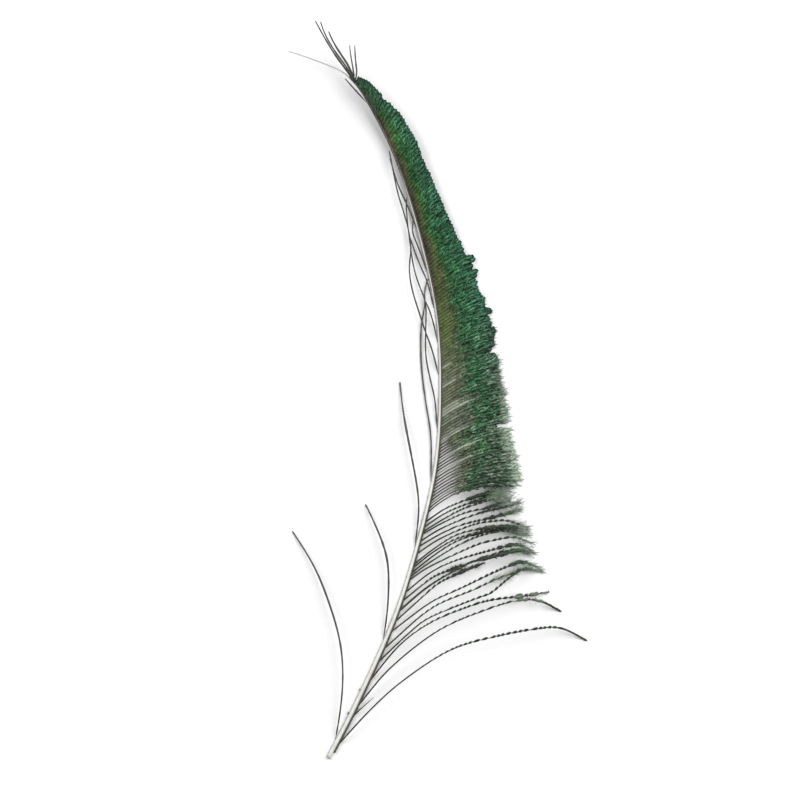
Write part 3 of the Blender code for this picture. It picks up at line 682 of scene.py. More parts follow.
def barbules(stems, start, reach, blade, draw, area):
    """Closed blades along both edges of the stems' ribbons.

    A blade's sections stand on the straight line root + share of length along
    its heading, which is off the barb by blade.forward and, like its lift from
    the ribbon's plane, by chance. Start is the share of each barb that has no
    blades, and reach is their length, by place.
    """
    count = len(stems.line)
    which, place, side = blade_roots(run_along(stems.line)[:, -1], start, blade.spacing, draw)
    tangent = unit(sample(unit(np.gradient(stems.line, axis=1)), which, place))
    outward = side[:, None] * unit(sample(stems.wide_axis, which, place))
    above = unit(sample(stems.thin_axis, which, place))
    edge = sample(stems.wide, which, place)[:, None]
    long = (sample(reach, which, place) * draw.uniform(*BLADE_LENGTHS, len(which)))[:, None]
    stray = np.radians(np.broadcast_to(blade.stray, count)[which])[:, None]
    lift = stray * draw.normal(0.0, 1.0, (len(which), 1))
    turn = side * np.broadcast_to(blade.turn, count)[which]
    forward = (np.radians(blade.forward + turn)[:, None]
               + stray * draw.normal(0.0, FORWARD_STRAY, lift.shape))
    spread = np.cos(lift) * outward + np.sin(lift) * above
    leads = unit(np.cos(forward) * tangent + np.sin(forward) * spread)

    root = sample(stems.line, which, place) + draw.uniform(*blade.offset, edge.shape) * edge * outward
    shares = np.concatenate([[0.0], blade.rings, [1.0]])
    spine = root[:, None] + (long * shares)[..., None] * leads[:, None]
    across = unit(tangent - np.sum(tangent * leads, -1, keepdims=True) * leads)
    lowest = FLOOR_CLEARANCE + 0.5 * blade.width * (np.abs(across[:, 2:]) + blade.depth)
    spine[..., 2] = np.maximum(spine[..., 2], lowest)

    ones = np.ones((1, len(blade.rings)))
    marks = {name: sample(value, which, place)[:, None] * ones
             for name, value in stems.marks.items()}
    marks["shade"] = marks["shade"] + draw.normal(0.0, SHADE_CHANCE, (len(which), 1))
    marks["glint"] = draw.uniform(0.0, 1.0, (len(which), 1)) * ones
    marks["feathered"] = ones * np.ones((len(which), 1))
    wide = 0.5 * blade.width * blade.swell * np.minimum(1.0, 2 * long)
    blades = Stems(spine[:, 1:-1], across[:, None] * ones[..., None],
                   np.cross(leads, across)[:, None] * ones[..., None],
                   wide, blade.depth * wide, marks)
    return tubes(blades, spine[:, 0], spine[:, -1], blade.crest, len(blade.rings) > 1, area)


def wisps(stems, count, places, reach, radius, spread, draw):
    """Fine loose hairs, as thin stems that fan out by spread degrees and droop.

    A hair's line is root + t length (heading + t bend), less a parabola of droop.
    Count is their number and reach their length, by barb, and places are the
    shares of a barb's length between which they grow.
    """
    which = np.repeat(np.arange(len(stems.line)), count)
    place = draw.uniform(*places, len(which))
    root = sample(stems.line, which, place)
    tangent = unit(sample(unit(np.gradient(stems.line, axis=1)), which, place))
    level = unit(np.cross(UP, tangent))
    turn = np.radians(draw.normal(0.0, spread, len(which)))[:, None]
    leads = np.cos(turn) * tangent + np.sin(turn) * level
    long = np.broadcast_to(reach, len(stems.line))[which] * draw.uniform(*HAIR_LENGTHS, len(which))
    long = long[:, None, None]
    t = np.linspace(0.0, 1.0, HAIR_POINTS)[None, :, None]
    bend = draw.normal(0.0, HAIR_BEND, (len(which), 1, 1)) * level[:, None]
    line = root[:, None] + long * t * (leads[:, None] + t * bend)
    line[..., 2] = np.maximum(line[..., 2] - HAIR_DROOP * (long * t * t)[..., 0],
                              FLOOR_CLEARANCE + radius)
    taper = radius * np.linspace(1.0, HAIR_TAPER, HAIR_POINTS)[None].repeat(len(which), axis=0)
    marks = {name: np.repeat(sample(value, which, place)[:, None], HAIR_POINTS, axis=1)
             for name, value in stems.marks.items()}
    return round_stems(line, taper, marks)


def joined(shapes):
    """One shape from several."""
    first = np.cumsum([0] + [len(shape.points) for shape in shapes[:-1]])
    marks = {name: np.concatenate([shape.marks[name] for shape in shapes])
             for name in shapes[0].marks}
    smooth = np.concatenate([np.full(len(shape.quads), shape.smooth) for shape in shapes]
                            + [np.full(len(shape.triangles), shape.smooth) for shape in shapes])
    return Shape(np.concatenate([shape.points for shape in shapes]),
                 np.concatenate([shape.quads + k for shape, k in zip(shapes, first)]),
                 np.concatenate([shape.triangles + k for shape, k in zip(shapes, first)]),
                 np.concatenate([shape.quad_net for shape in shapes]),
                 np.concatenate([shape.triangle_net for shape in shapes]), marks, smooth)


def put_piece(name, shapes, material, nodes):
    """Make the shapes one mesh object that rides on the feather in the place of the nodes."""
    whole = joined(shapes)
    mesh = bpy.data.meshes.new(name)
    mesh.vertices.add(len(whole.points))
    mesh.vertices.foreach_set("co", (whole.points * MM).ravel())
    corners = np.concatenate([whole.quads.ravel(), whole.triangles.ravel()])
    starts = np.concatenate([4 * np.arange(len(whole.quads)),
                             4 * len(whole.quads) + 3 * np.arange(len(whole.triangles))])
    mesh.loops.add(len(corners))
    mesh.loops.foreach_set("vertex_index", corners.astype(np.int32))
    mesh.polygons.add(len(starts))
    mesh.polygons.foreach_set("loop_start", starts.astype(np.int32))
    mesh.update(calc_edges=True)
    mesh.polygons.foreach_set("use_smooth", whole.smooth)
    net = mesh.uv_layers.new(name="OFBake")
    net.uv.foreach_set("vector", np.concatenate(
        [whole.quad_net.ravel(), whole.triangle_net.ravel()]).astype(np.float32))
    for mark, values in whole.marks.items():
        mesh.attributes.new(mark, "FLOAT", "POINT").data.foreach_set(
            "value", values.astype(np.float32))
    mesh.materials.append(material)
    piece = bpy.data.objects.new(name, mesh)
    bpy.context.scene.collection.objects.link(piece)
    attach(piece, "root")
    if nodes:
        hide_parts(*nodes)


# ---- the feather's own lines

def web_stations(low, high):
    """Roots of the web's barbs between two stations."""
    fine = np.linspace(WEB_START, WEB_KEYS[-1, 0], ROOT_STEPS)
    spacing = by_station(fine, SPACING_KEYS)
    number = np.concatenate([[0.0], np.cumsum(np.diff(fine) / spacing[1:])])
    station = np.interp(np.arange(int(number[-1])) + 0.5, number, fine)
    return station[(station >= low) & (station < high)]


def web_tip(station, scale, swing):
    """Where the web's outer edge is, for the barb that grows at a station."""
    chord = scale * by_station(station, WEB_KEYS)
    heading = np.radians(by_station(station, WEB_KEYS, 2) + swing)
    root = ridge_at(station)
    height = rise(station) + np.interp(station, EDGE_STATIONS, EDGE_HEIGHTS)
    return np.stack([root[:, 0] + chord * np.cos(heading),
                     root[:, 1] + chord * np.sin(heading), height], -1)


def web_lines(station, scale, swing, t):
    """Lines of web barbs from the ridge to the edge.

    Scale lengthens each chord and swing turns its heading, by barb. Near the
    feather's tip the barbs bend towards the shaft, so each ends further along
    the edge than the barb of its own station would.
    """
    bend = ease(station, *BEND_STATIONS)
    tip = web_tip(np.minimum(station + BEND_SHIFT * bend, WEB_KEYS[-1, 0]), scale, swing)
    root = ridge_at(station)
    chord = np.linalg.norm(tip - root, axis=-1)
    lowest, half, _, arched = DROOP
    arched = arched * bell(station, lowest, half)
    leave = by_station(station, WEB_KEYS, 3) + BEND_TURN * bend + arched
    arrive = by_station(station, WEB_KEYS, 4) + 2 * swing + BEND_TURN * bend - arched
    return barb_line(root[:, None], leave[:, None], tip[:, None], arrive[:, None],
                     (WEB_ARCH * chord)[:, None], t[None, :, None])


def web_pitch(station, line, t):
    """Distance from each web barb to the next one up, square to its line, by place."""
    spacing = by_station(station, SPACING_KEYS)
    offset = web_lines(station + spacing, 1.0, 0.0, t) - line
    tangent = unit(np.gradient(line, axis=1))
    return np.linalg.norm(np.cross(offset, tangent), axis=-1)


def web_rays(station, t, draw):
    """How pale each web barb is along its length: the PALE_BARBS, and the others by chance."""
    most = by_station(station, RAY_KEYS)[:, None]
    ray = most * draw.uniform(0.0, 1.0, (len(station), 1)) ** 1.5 * (1 - ease(t, 0.2, 0.6))[None]
    for middle, share in PALE_BARBS:
        nearest = np.abs(station - middle).argmin()
        if abs(station[nearest] - middle) < 2.0:
            ray[nearest] = 1 - ease(t, share - 0.4, share)
    return ray


class WebPaths(NamedTuple):
    """Lines of the web's barbs, and what their ribbons follow. All but t have a row for a barb."""

    t: np.ndarray               # share of the length, the same for all barbs
    line: np.ndarray
    run: np.ndarray             # distance along the barb, before chance bends it
    pitch: np.ndarray           # distance to the next barb, square to the line
    ray: np.ndarray             # how pale the barb is
    lively: np.ndarray          # how freely it bends and rocks: 0 is not at all


def web_paths(station, web, draw):
    """Paths of the web's barbs from the ridge to the edge.

    Chance lengthens, swings, bends and lifts each one. The LOCKS stand proud of
    the edge or fall short of it, by a bell curve with a flat top.
    """
    chord = by_station(station, WEB_KEYS)
    proud = sum(extra * bell(station, middle, half, 4) for middle, half, extra in LOCKS)
    scale = 1 + proud / chord + draw.normal(0.0, LENGTH_CHANCE, len(station))
    t = np.linspace(0.0, 1.0, int(chord.max() / WEB_STEP) + 2)
    pitch = web_pitch(station, web_lines(station, 1.0, 0.0, t), t)
    lowest, half, fall, _ = DROOP
    swing = draw.normal(0.0, HEADING_CHANCE, len(station)) + fall * bell(station, lowest, half)
    line = web_lines(station, scale, swing, t)
    run = run_along(line)
    ray = web_rays(station, t, draw)
    lively = (1 - ease(station, *CALM_STATIONS))[:, None] * (1 - np.clip(ray, 0.0, 1.0))
    bend = web.wander / MM * chance_along(run, BEND_CELL, draw) * ease(t, 0.15, 0.5) * lively
    bend = bend * (1 - STEADY_LOSS * ease(station, *STEADY_STATIONS))[:, None]
    line = moved_aside(line, bend)
    line[..., 2] += draw.normal(0.0, HEIGHT_CHANCE, (len(station), 1)) * ease(t, 0.0, 0.5)
    return WebPaths(t, line, run, pitch, ray, lively)


def round_end(rest, full):
    """Share of a ribbon's half width at the distance rest from its end.

    The end is half an ellipse, 0.9 of the half width long and at least 0.3 mm,
    and is not quite closed.
    """
    left = np.clip(rest / np.maximum(0.9 * full, 0.3), 0.0, 1.0)
    return np.sqrt(1 - (1 - left) ** 2 * 0.97)


def web_stems(low, high, web):
    """Stems of the web's barbs between two stations.

    Each ribbon is a little wider than the pitch, so that it leans over its
    neighbour like a shingle. It rocks about its line by chance, which makes the
    strokes of light, and ends round. With the stems come the bare share of each,
    the reach of its barbules by place, and the draw, which goes on from there.
    """
    station = web_stations(low, high)
    draw = np.random.default_rng(int(low))
    count = len(station)
    t, line, run, pitch, ray, lively = web_paths(station, web, draw)
    rest = run[:, -1:] - run
    bare = (by_station(station, BARE_KEYS) + draw.normal(0.0, BARE_CHANCE, count))[:, None]
    feathered = ease(t[None], bare, bare + by_station(station, BARE_KEYS, 2)[:, None])
    wave = chance_along(run, web.stroke_length / MM, draw)
    turn = np.radians(web.lean * ease(t, 0.0, 0.45)
                      + web.rocking * wave * ease(t, 0.15, 0.45) * lively)
    stem = web.stem_radius / MM * (1 - WEB_STEM_TAPER * t)[None]
    uneven = 1 + 0.12 * chance_along(run, WIDTH_CELL, draw)
    full = 0.5 * web.cover * pitch * uneven * ease(run, -0.5, 1.0)
    ending = round_end(rest, full)
    # A bare stem is nearly round, and a feathered one is a flat ribbon.
    wide = (stem + np.maximum(full - stem, 0.0) * feathered ** 2) * ending
    thin = (0.6 * stem * (1 - 0.65 * feathered) + 0.05 * feathered) * ending
    _, wide_axis, thin_axis = axes_along(line, turn)
    line[..., 2] = off_floor(line, wide, thin, turn)
    shade = draw.normal(0.0, SHADE_CHANCE, (count, 1)) + 0.3 * chance_along(run, SHADE_CELL, draw)
    marks = {
        "across": np.broadcast_to(t, wide.shape),
        "along": np.broadcast_to(station[:, None] / SHAFT_LENGTH, wide.shape),
        "glint": 0.5 + 0.5 * wave * lively,
        "shade": shade * ease(t, -0.25, 0.45),
        "feathered": np.broadcast_to(feathered, wide.shape),
        "rim": 1 - ease(rest, RIM_START, by_station(station, RIM_KEYS)[:, None]),
        "ray": ray,
    }
    reach = web.barbule_length / MM * np.sqrt(feathered) * ease(rest, -0.5, 2.0)
    return Stems(line, wide_axis, thin_axis, wide, thin, marks), np.maximum(bare[:, 0], 0.0), reach, draw


def web_leaves(stems, bare, web, draw):
    """Leaf-like bundles of barbules that lie over the web's ribbons.

    They stray more low on the web, and are shorter beside the ridge and where
    a barb ends.
    """
    run = run_along(stems.line)
    rest = run[:, -1:] - run
    station = stations_of(stems)
    grown = (stems.marks["feathered"] * ease(stems.marks["across"], 0.08, 0.35)
             * (1 - 0.7 * np.clip(stems.marks["ray"], 0.0, 1.0)))
    reach = np.clip(0.85 * (rest - 0.5), 0.1, web.leaf_length / MM * grown + 0.1)
    leaf = Blade(web.leaf_spacing / MM, web.leaf_width / MM, depth=0.22, forward=8.0,
                 turn=by_station(station, LEAF_TURN), stray=by_station(station, LEAF_STRAY),
                 rings=np.array([0.22, 0.7]), swell=np.array([0.8, 1.0]), crest=STEM_CREST,
                 offset=(0.0, 0.45))
    raised = stems._replace(line=stems.line + 0.5 * stems.thin[..., None] * stems.thin_axis)
    return barbules(raised, bare, reach, leaf, draw, WEB_NETS["leaves"])


def web_fringe(stems, draw):
    """Tubes of the fine pale hairs on the web's lower edge: none, if these barbs have none."""
    number = by_station(stations_of(stems), FRINGE).astype(int)
    if not number.any():
        return []
    hairs = wisps(stems, number, *FRINGE_HAIR, draw)
    hairs.marks["rim"][:] = 1.0
    return [hair_tubes(hairs, WEB_NETS["fringe"])]


def smoothed(lines, rounds=SMOOTHING):
    """Lines with their corners taken off.

    Each point moves to a quarter of each neighbour and half of itself, round
    after round, and the two ends stay.
    """
    for _ in range(rounds):
        lines[..., 1:-1, :] = (0.25 * lines[..., :-2, :] + 0.5 * lines[..., 1:-1, :]
                               + 0.25 * lines[..., 2:, :])
    return lines


def loose_guide(index, steps):
    """Line of one named loose barb: even fall from ridge to floor, plus its arch."""
    station, arch, passed = LOOSE_BARBS[index]
    root = ridge_at(np.array(station))
    plan = smooth_through([tuple(root[:2])] + passed, steps)
    t = np.linspace(0.0, 1.0, steps + 1)
    height = (1 - t) * root[2] + t * LOOSE_TIP_RADIUS + 4 * arch * t * (1 - t)
    return np.column_stack([plan, height])


def even_run(line):
    """The same line with its points evenly spread."""
    run = run_along(line[None])[0]
    even = np.linspace(0.0, run[-1], len(line))
    return np.column_stack([np.interp(even, run, line[:, k]) for k in range(3)])


def loose_lines(steps):
    """Lines of all loose barbs: the named ones, then those between two of them.

    A barb between two starts on the ridge between their roots and moves over to
    its share of the way from one to the other.
    """
    guides = np.stack([smoothed(even_run(loose_guide(k, steps))) for k in range(len(LOOSE_BARBS))])
    station = np.array([barb[0] for barb in LOOSE_BARBS])
    place, start, end = (np.array(column) for column in zip(*BETWEEN_BARBS))
    t = np.linspace(0.0, 1.0, steps + 1)[None]
    weight = (start[:, None] + (end - start)[:, None] * ease(t, 0.1, 0.85))[..., None]
    between = (1 - weight) * guides[place] + weight * guides[place + 1]
    between_station = station[place] + start * (station[place + 1] - station[place])
    return np.concatenate([guides, between]), np.concatenate([station, between_station])


def dash_places(run, loose, draw):
    """How far on in its dash each place of the loose barbs is, from 0 to 1."""
    count = len(run)
    pitch = (loose.dash_length / MM) * draw.uniform(*DASH_PITCHES, (count, 1))
    uneven = DASH_CHANCE * chance_along(run, DASH_CELL, draw)
    return (run / pitch + uneven + draw.uniform(1.0, 2.0, (count, 1))) % 1.0


def tuft_swell(run, t, draw):
    """How much wider the loose barbs are at their tufts: flat-topped bells, made uneven."""
    tuft = np.zeros(run.shape)
    for barb, middle, half, extra in TUFTS:
        tuft[barb] = np.maximum(tuft[barb], extra * bell(t[0], middle, half, 4))
    return tuft * (1 + TUFT_CHANCE * chance_along(run, TUFT_CELL, draw))


def loose_stems(loose):
    """Stems of the loose barbs: bare, then a chain of dashes. Their barbules' reach and
    the draw come with them.

    A dash is thin at first, thickens, and ends short, and it slants across the
    barb's line, so that a thin neck leads from its end to the next one's start.
    """
    draw = np.random.default_rng(LOOSE_SEED)
    line, station = loose_lines(loose.sections)
    count = len(station)
    t = np.linspace(0.0, 1.0, loose.sections + 1)[None]
    run = run_along(line)
    line[..., 2] += draw.normal(0.0, LOOSE_HEIGHT_CHANCE, (count, 1)) * np.sin(np.pi * t)
    part = dash_places(run, loose, draw)
    dash = ease(part, 0.0, 0.6) * (1 - ease(part, 0.8, 1.0))

    tailed = (station < TAILED_BELOW)[:, None]
    feathered = np.where(tailed, ease(t, 0.35, 0.55) * (1 - ease(t, 0.86, 0.92)),
                         ease(t, 0.2, 0.42) * (1 - 0.6 * ease(t, 0.93, 1.0)))
    tuft = tuft_swell(run, t, draw)
    stem = loose.stem_radius / MM * (1 - 0.25 * t) + TAIL_SWELL * tailed * ease(t, 0.84, 0.92)
    body = stem + ((loose.ribbon / MM) * ease(t, 0.25, 0.8)
                   * (1 + draw.normal(0.0, RIBBON_CHANCE, (count, 1))))
    filled = ease(tuft, 0.0, 0.4) * (0.65 + 0.35 * chance_along(run, FILL_CELL, draw))
    chain = NECK_RADIUS + (body - NECK_RADIUS) * np.maximum(dash, filled)
    wide = (stem + (chain - stem) * feathered) * (1 + tuft) * (1 - 0.5 * ease(t, 0.88, 1.0) * ~tailed)
    thin = np.minimum(stem, wide) * (1 - 0.3 * feathered)
    line = moved_aside(line, DASH_SLANT * (part - 0.5) * feathered)
    turn = np.radians(LOOSE_TURN) * chance_along(run, TURN_CELL, draw)
    line[..., 2] = off_floor(line, wide, thin, turn)
    _, wide_axis, thin_axis = axes_along(line, turn)
    fanned = ((line[:, -1, 0] > FAN_BEYOND) & (station > FAN_FROM))[:, None] * 1.0
    marks = {
        "across": t * (0.8 + 0.2 * fanned),
        "along": np.broadcast_to(station[:, None] / SHAFT_LENGTH, wide.shape),
        "glint": np.maximum(np.maximum(dash, 1 - feathered), ease(tuft, 0.0, 0.3)),
        "shade": np.broadcast_to(draw.normal(0.0, SHADE_CHANCE, (count, 1)), wide.shape),
        "feathered": feathered * np.ones_like(wide),
        "rim": ease(t, 0.9, 1.0) * fanned + 0.6 * ease(tuft, 0.0, 0.3) * (station < FAN_FROM)[:, None],
    }
    reach = (loose.barbule_length / MM) * feathered * (0.6 * dash + 0.4) * (1 + 0.8 * tuft)
    return Stems(line, wide_axis, thin_axis, wide, thin, marks), reach, draw


def loose_fans(stems, draw):
    """Tubes of the fine hairs that fan out from the loose barbs' ends."""
    station = stations_of(stems)
    number = (by_station(station, FAN) * stems.marks["rim"][:, -1]).astype(int)
    hairs = wisps(stems, number, FAN_PLACES, by_station(station, FAN_REACH), *FAN_HAIR, draw)
    hairs.marks["rim"][:] = 1.0
    return hair_tubes(hairs, LOOSE_NETS["fans"])


def tuft_shapes(stems, draw):
    """Leaf-like bundles and short hairs that stand off the loose barbs where they are tufted."""
    start = np.full(len(stems.line), 0.99)      # a barb with no tuft has a bundle at its end only
    for barb, middle, half, _ in TUFTS:
        start[barb] = min(start[barb], middle - half)
    shapes = [barbules(stems, start, TUFT_LEAF_REACH * stems.wide, TUFT_LEAF, draw,
                       LOOSE_NETS["leaves"])]
    for index, (barb, middle, half, _) in enumerate(TUFTS):
        number = np.zeros(len(stems.line), int)
        number[barb] = TUFT_HAIRS * half
        hairs = wisps(stems, number, (middle - half, middle + half), *TUFT_HAIR, draw)
        shapes.append(hair_tubes(hairs, net_cell(LOOSE_NETS["tufts"], index, len(TUFTS))))
    return shapes


def is_low(station):
    """Whether a stray barb grows below the web, where the long smooth ones are."""
    return station < WEB_KEYS[0, 0]


def narrow_line(station, passed):
    """Line of a stray barb of the narrow side, from its root through the points it passes."""
    root = shoulder_at(np.array(station), NARROW_ROOT_RADIUS, -1, NARROW_ROOT_GAP)
    corners = np.vstack([root, passed])
    long = np.linalg.norm(np.diff(corners, axis=0), axis=1).sum()
    line = even_run(smooth_through(corners, int(long / STRAY_STEP)))
    return smoothed(line, LOW_STRAY_SMOOTHING if is_low(station) else SMOOTHING)


def tip_line(root, tip, leave, arrive):
    """Line of a barb past the tip: straight from the common foot to its root, then a curve."""
    t = np.linspace(0.0, 1.0, TIP_RINGS)[:, None]
    curve = barb_line(root, np.array(leave), np.array(tip), np.array(arrive),
                      np.array(TIP_ARCH), t)
    foot = TIP_FOOT + (root - TIP_FOOT) * np.linspace(0.0, 1.0, TIP_FOOT_RINGS)[:-1, None]
    return smoothed(even_run(np.vstack([foot, curve])))


def stray_stems(line, radii, seed):
    """One stray barb, and its draw: a stem that swells by chance and is thin at its root.

    Radii are those at the root, at 0.7 of the length, and at the tip.
    """
    draw = np.random.default_rng(seed)
    line = line[None]
    t = np.linspace(0.0, 1.0, line.shape[1])[None]
    run = run_along(line)
    swell = chance_along(run, SWELL_CELL, draw)
    radius = (np.interp(t, [0.0, 0.7, 1.0], radii) * (1 + 0.15 * swell)
              * (0.3 + 0.7 * ease(run, 0.0, 5.0)))
    marks = {"across": t, "glint": 0.5 + 0.5 * swell, "shade": 0 * t}
    return round_stems(line, radius, marks, 0.8), draw


def put_single_barb(name, stems, draw, sizes, material):
    """Make one stray or tip barb with its short barbules, in the place of its solid.

    Sizes are those of its barbules: NARROW_BARBULES or TIP_BARBULES.
    """
    bare, growth, length, width = sizes
    blades = barbules(stems, np.array([bare]), length * ease(stems.marks["across"], *growth),
                      single_barbule(BARBULE_SPACING, width), draw, SINGLE_NETS["barbules"])
    put_piece("fine_" + name, [stem_tubes(stems, SINGLE_NETS["stem"]), blades],
              material, [name])


# ---- the shaft

def shaft_shape(rows, sides):
    """Shaft as a closed loft, with a groove along its flat underside.

    The section is half a turn and SECTION_TURN more on each side, scaled by the
    width; the underside dips up by the sine of the place across it. The cut
    end is slanted by moving its first rings along the shaft.
    """
    station = np.linspace(0.0, SHAFT_LENGTH, rows)
    x, y, width, heading = shaft_at(station)
    top = np.pi * np.linspace(-SECTION_TURN, 1 + SECTION_TURN, sides)
    low = np.sin(top[0])
    across = 0.5 * np.cos(top)
    above = SHAFT_HEIGHT * (np.sin(top) - low) / (1 - low)
    under = np.linspace(0.0, 1.0, UNDER_POINTS + 2)[1:-1]
    across = np.concatenate([across, across[-1] + (across[0] - across[-1]) * under])
    above = np.concatenate([above, GROOVE_DEPTH * np.sin(np.pi * under)])
    left = np.stack([-np.sin(heading), np.cos(heading), 0 * heading], -1)
    ahead = np.stack([np.cos(heading), np.sin(heading), 0 * heading], -1)
    centre = np.stack([x, y, rise(station)], -1)
    points = (centre[:, None] + (width[:, None] * across)[..., None] * left[:, None]
              + (width[:, None] * above)[..., None] * UP)
    slant = (CUT_SLANT * np.clip(1 - station / CUT_LENGTH, 0.0, 1.0)[:, None]
             * (across + 0.3 * above))
    points = points + slant[..., None] * ahead[:, None]

    ring_size = len(across)
    quads, triangles, quad_net, triangle_net = one_tube(rows, ring_size)
    near = points[0].mean(0) + CUT_DISH * ahead[0]
    far = points[-1].mean(0) + POINT_LENGTH * ahead[-1]
    around = np.concatenate([np.linspace(0.0, 1.0, sides), 1 - under])
    marks = {
        "along": np.append(np.repeat(station / SHAFT_LENGTH, ring_size), [0.0, 1.0]),
        "around": np.append(np.tile(around, rows), [0.5, 0.5]),
    }
    return Shape(np.vstack([points.reshape(-1, 3), near, far]), quads, triangles,
                 quad_net, triangle_net, marks, True)


def ridge_stems():
    """Root ridge: a tube along the shaft's shoulder that swells by the product of two sines."""
    station = np.linspace(RIDGE_START, SHAFT_LENGTH - RIDGE_TIP_MARGIN, RIDGE_RINGS)
    line = shoulder_at(station, ridge_radius(station), 1, FINE_RIDGE_GAP)[None]
    first, second = (np.sin(station * speed) for speed in RIDGE_WAVES)
    radius = ridge_radius(station)[None] * (RIDGE_SWELL[0] + RIDGE_SWELL[1] * first * second)
    marks = {name: 0 * radius for name in ("across", "glint", "shade", "feathered")}
    marks["along"] = station[None] / SHAFT_LENGTH
    return round_stems(line, radius, marks)


def spikes(root, heading, length, radius, climb):
    """Short pointed stems that leave their roots at a heading, and climb by a share of
    the length that they have in plan.
    """
    leads = np.stack([np.cos(heading), np.sin(heading), climb * np.ones_like(heading)], -1)
    t = np.linspace(0.0, 1.0, 4)
    line = root[:, None] + (length[:, None] * t)[..., None] * leads[:, None]
    taper = radius * (1 - 0.7 * t) * np.ones((len(root), 1))
    marks = {name: 0 * taper for name in ("across", "along", "glint", "shade", "feathered")}
    return round_stems(line, taper, marks)


def stub_stems():
    """The broken barb and the nubs of lost ones, on both sides of the shaft."""
    station, side, long, heading = (np.array(column, float) for column in zip(*STUBS))
    root = np.where(side[:, None] > 0, shoulder_at(station, *RIGHT_STUB_ROOT),
                    shoulder_at(station, *LEFT_STUB_ROOT))
    return spikes(root, np.radians(heading), long, STUB_RADIUS, STUB_CLIMB)


def stubble_stems(count):
    """Nubs of the trimmed barbs, all along the shaft's narrow side."""
    stations, headings, lengths, radius, climb, gap = STUBBLE
    draw = np.random.default_rng(STUBBLE_SEED)
    station = np.sort(draw.uniform(*stations, count))
    _, _, _, heading = shaft_at(station)
    heading = heading + np.radians(draw.uniform(*headings, count))
    return spikes(shoulder_at(station, 0.0, -1, gap), heading, draw.uniform(*lengths, count),
                  radius, climb)


def tip_tuft_stems():
    """Dark tuft that stands off the ridge where the web ends."""
    number, stations, headings, lengths, radius, lift, climb = TIP_TUFT
    draw = np.random.default_rng(TIP_TUFT_SEED)
    root = ridge_at(np.sort(draw.uniform(*stations, number))) + lift * UP
    heading = np.radians(draw.uniform(*headings, number))
    return spikes(root, heading, draw.uniform(*lengths, number), radius, climb)


# ---- materials

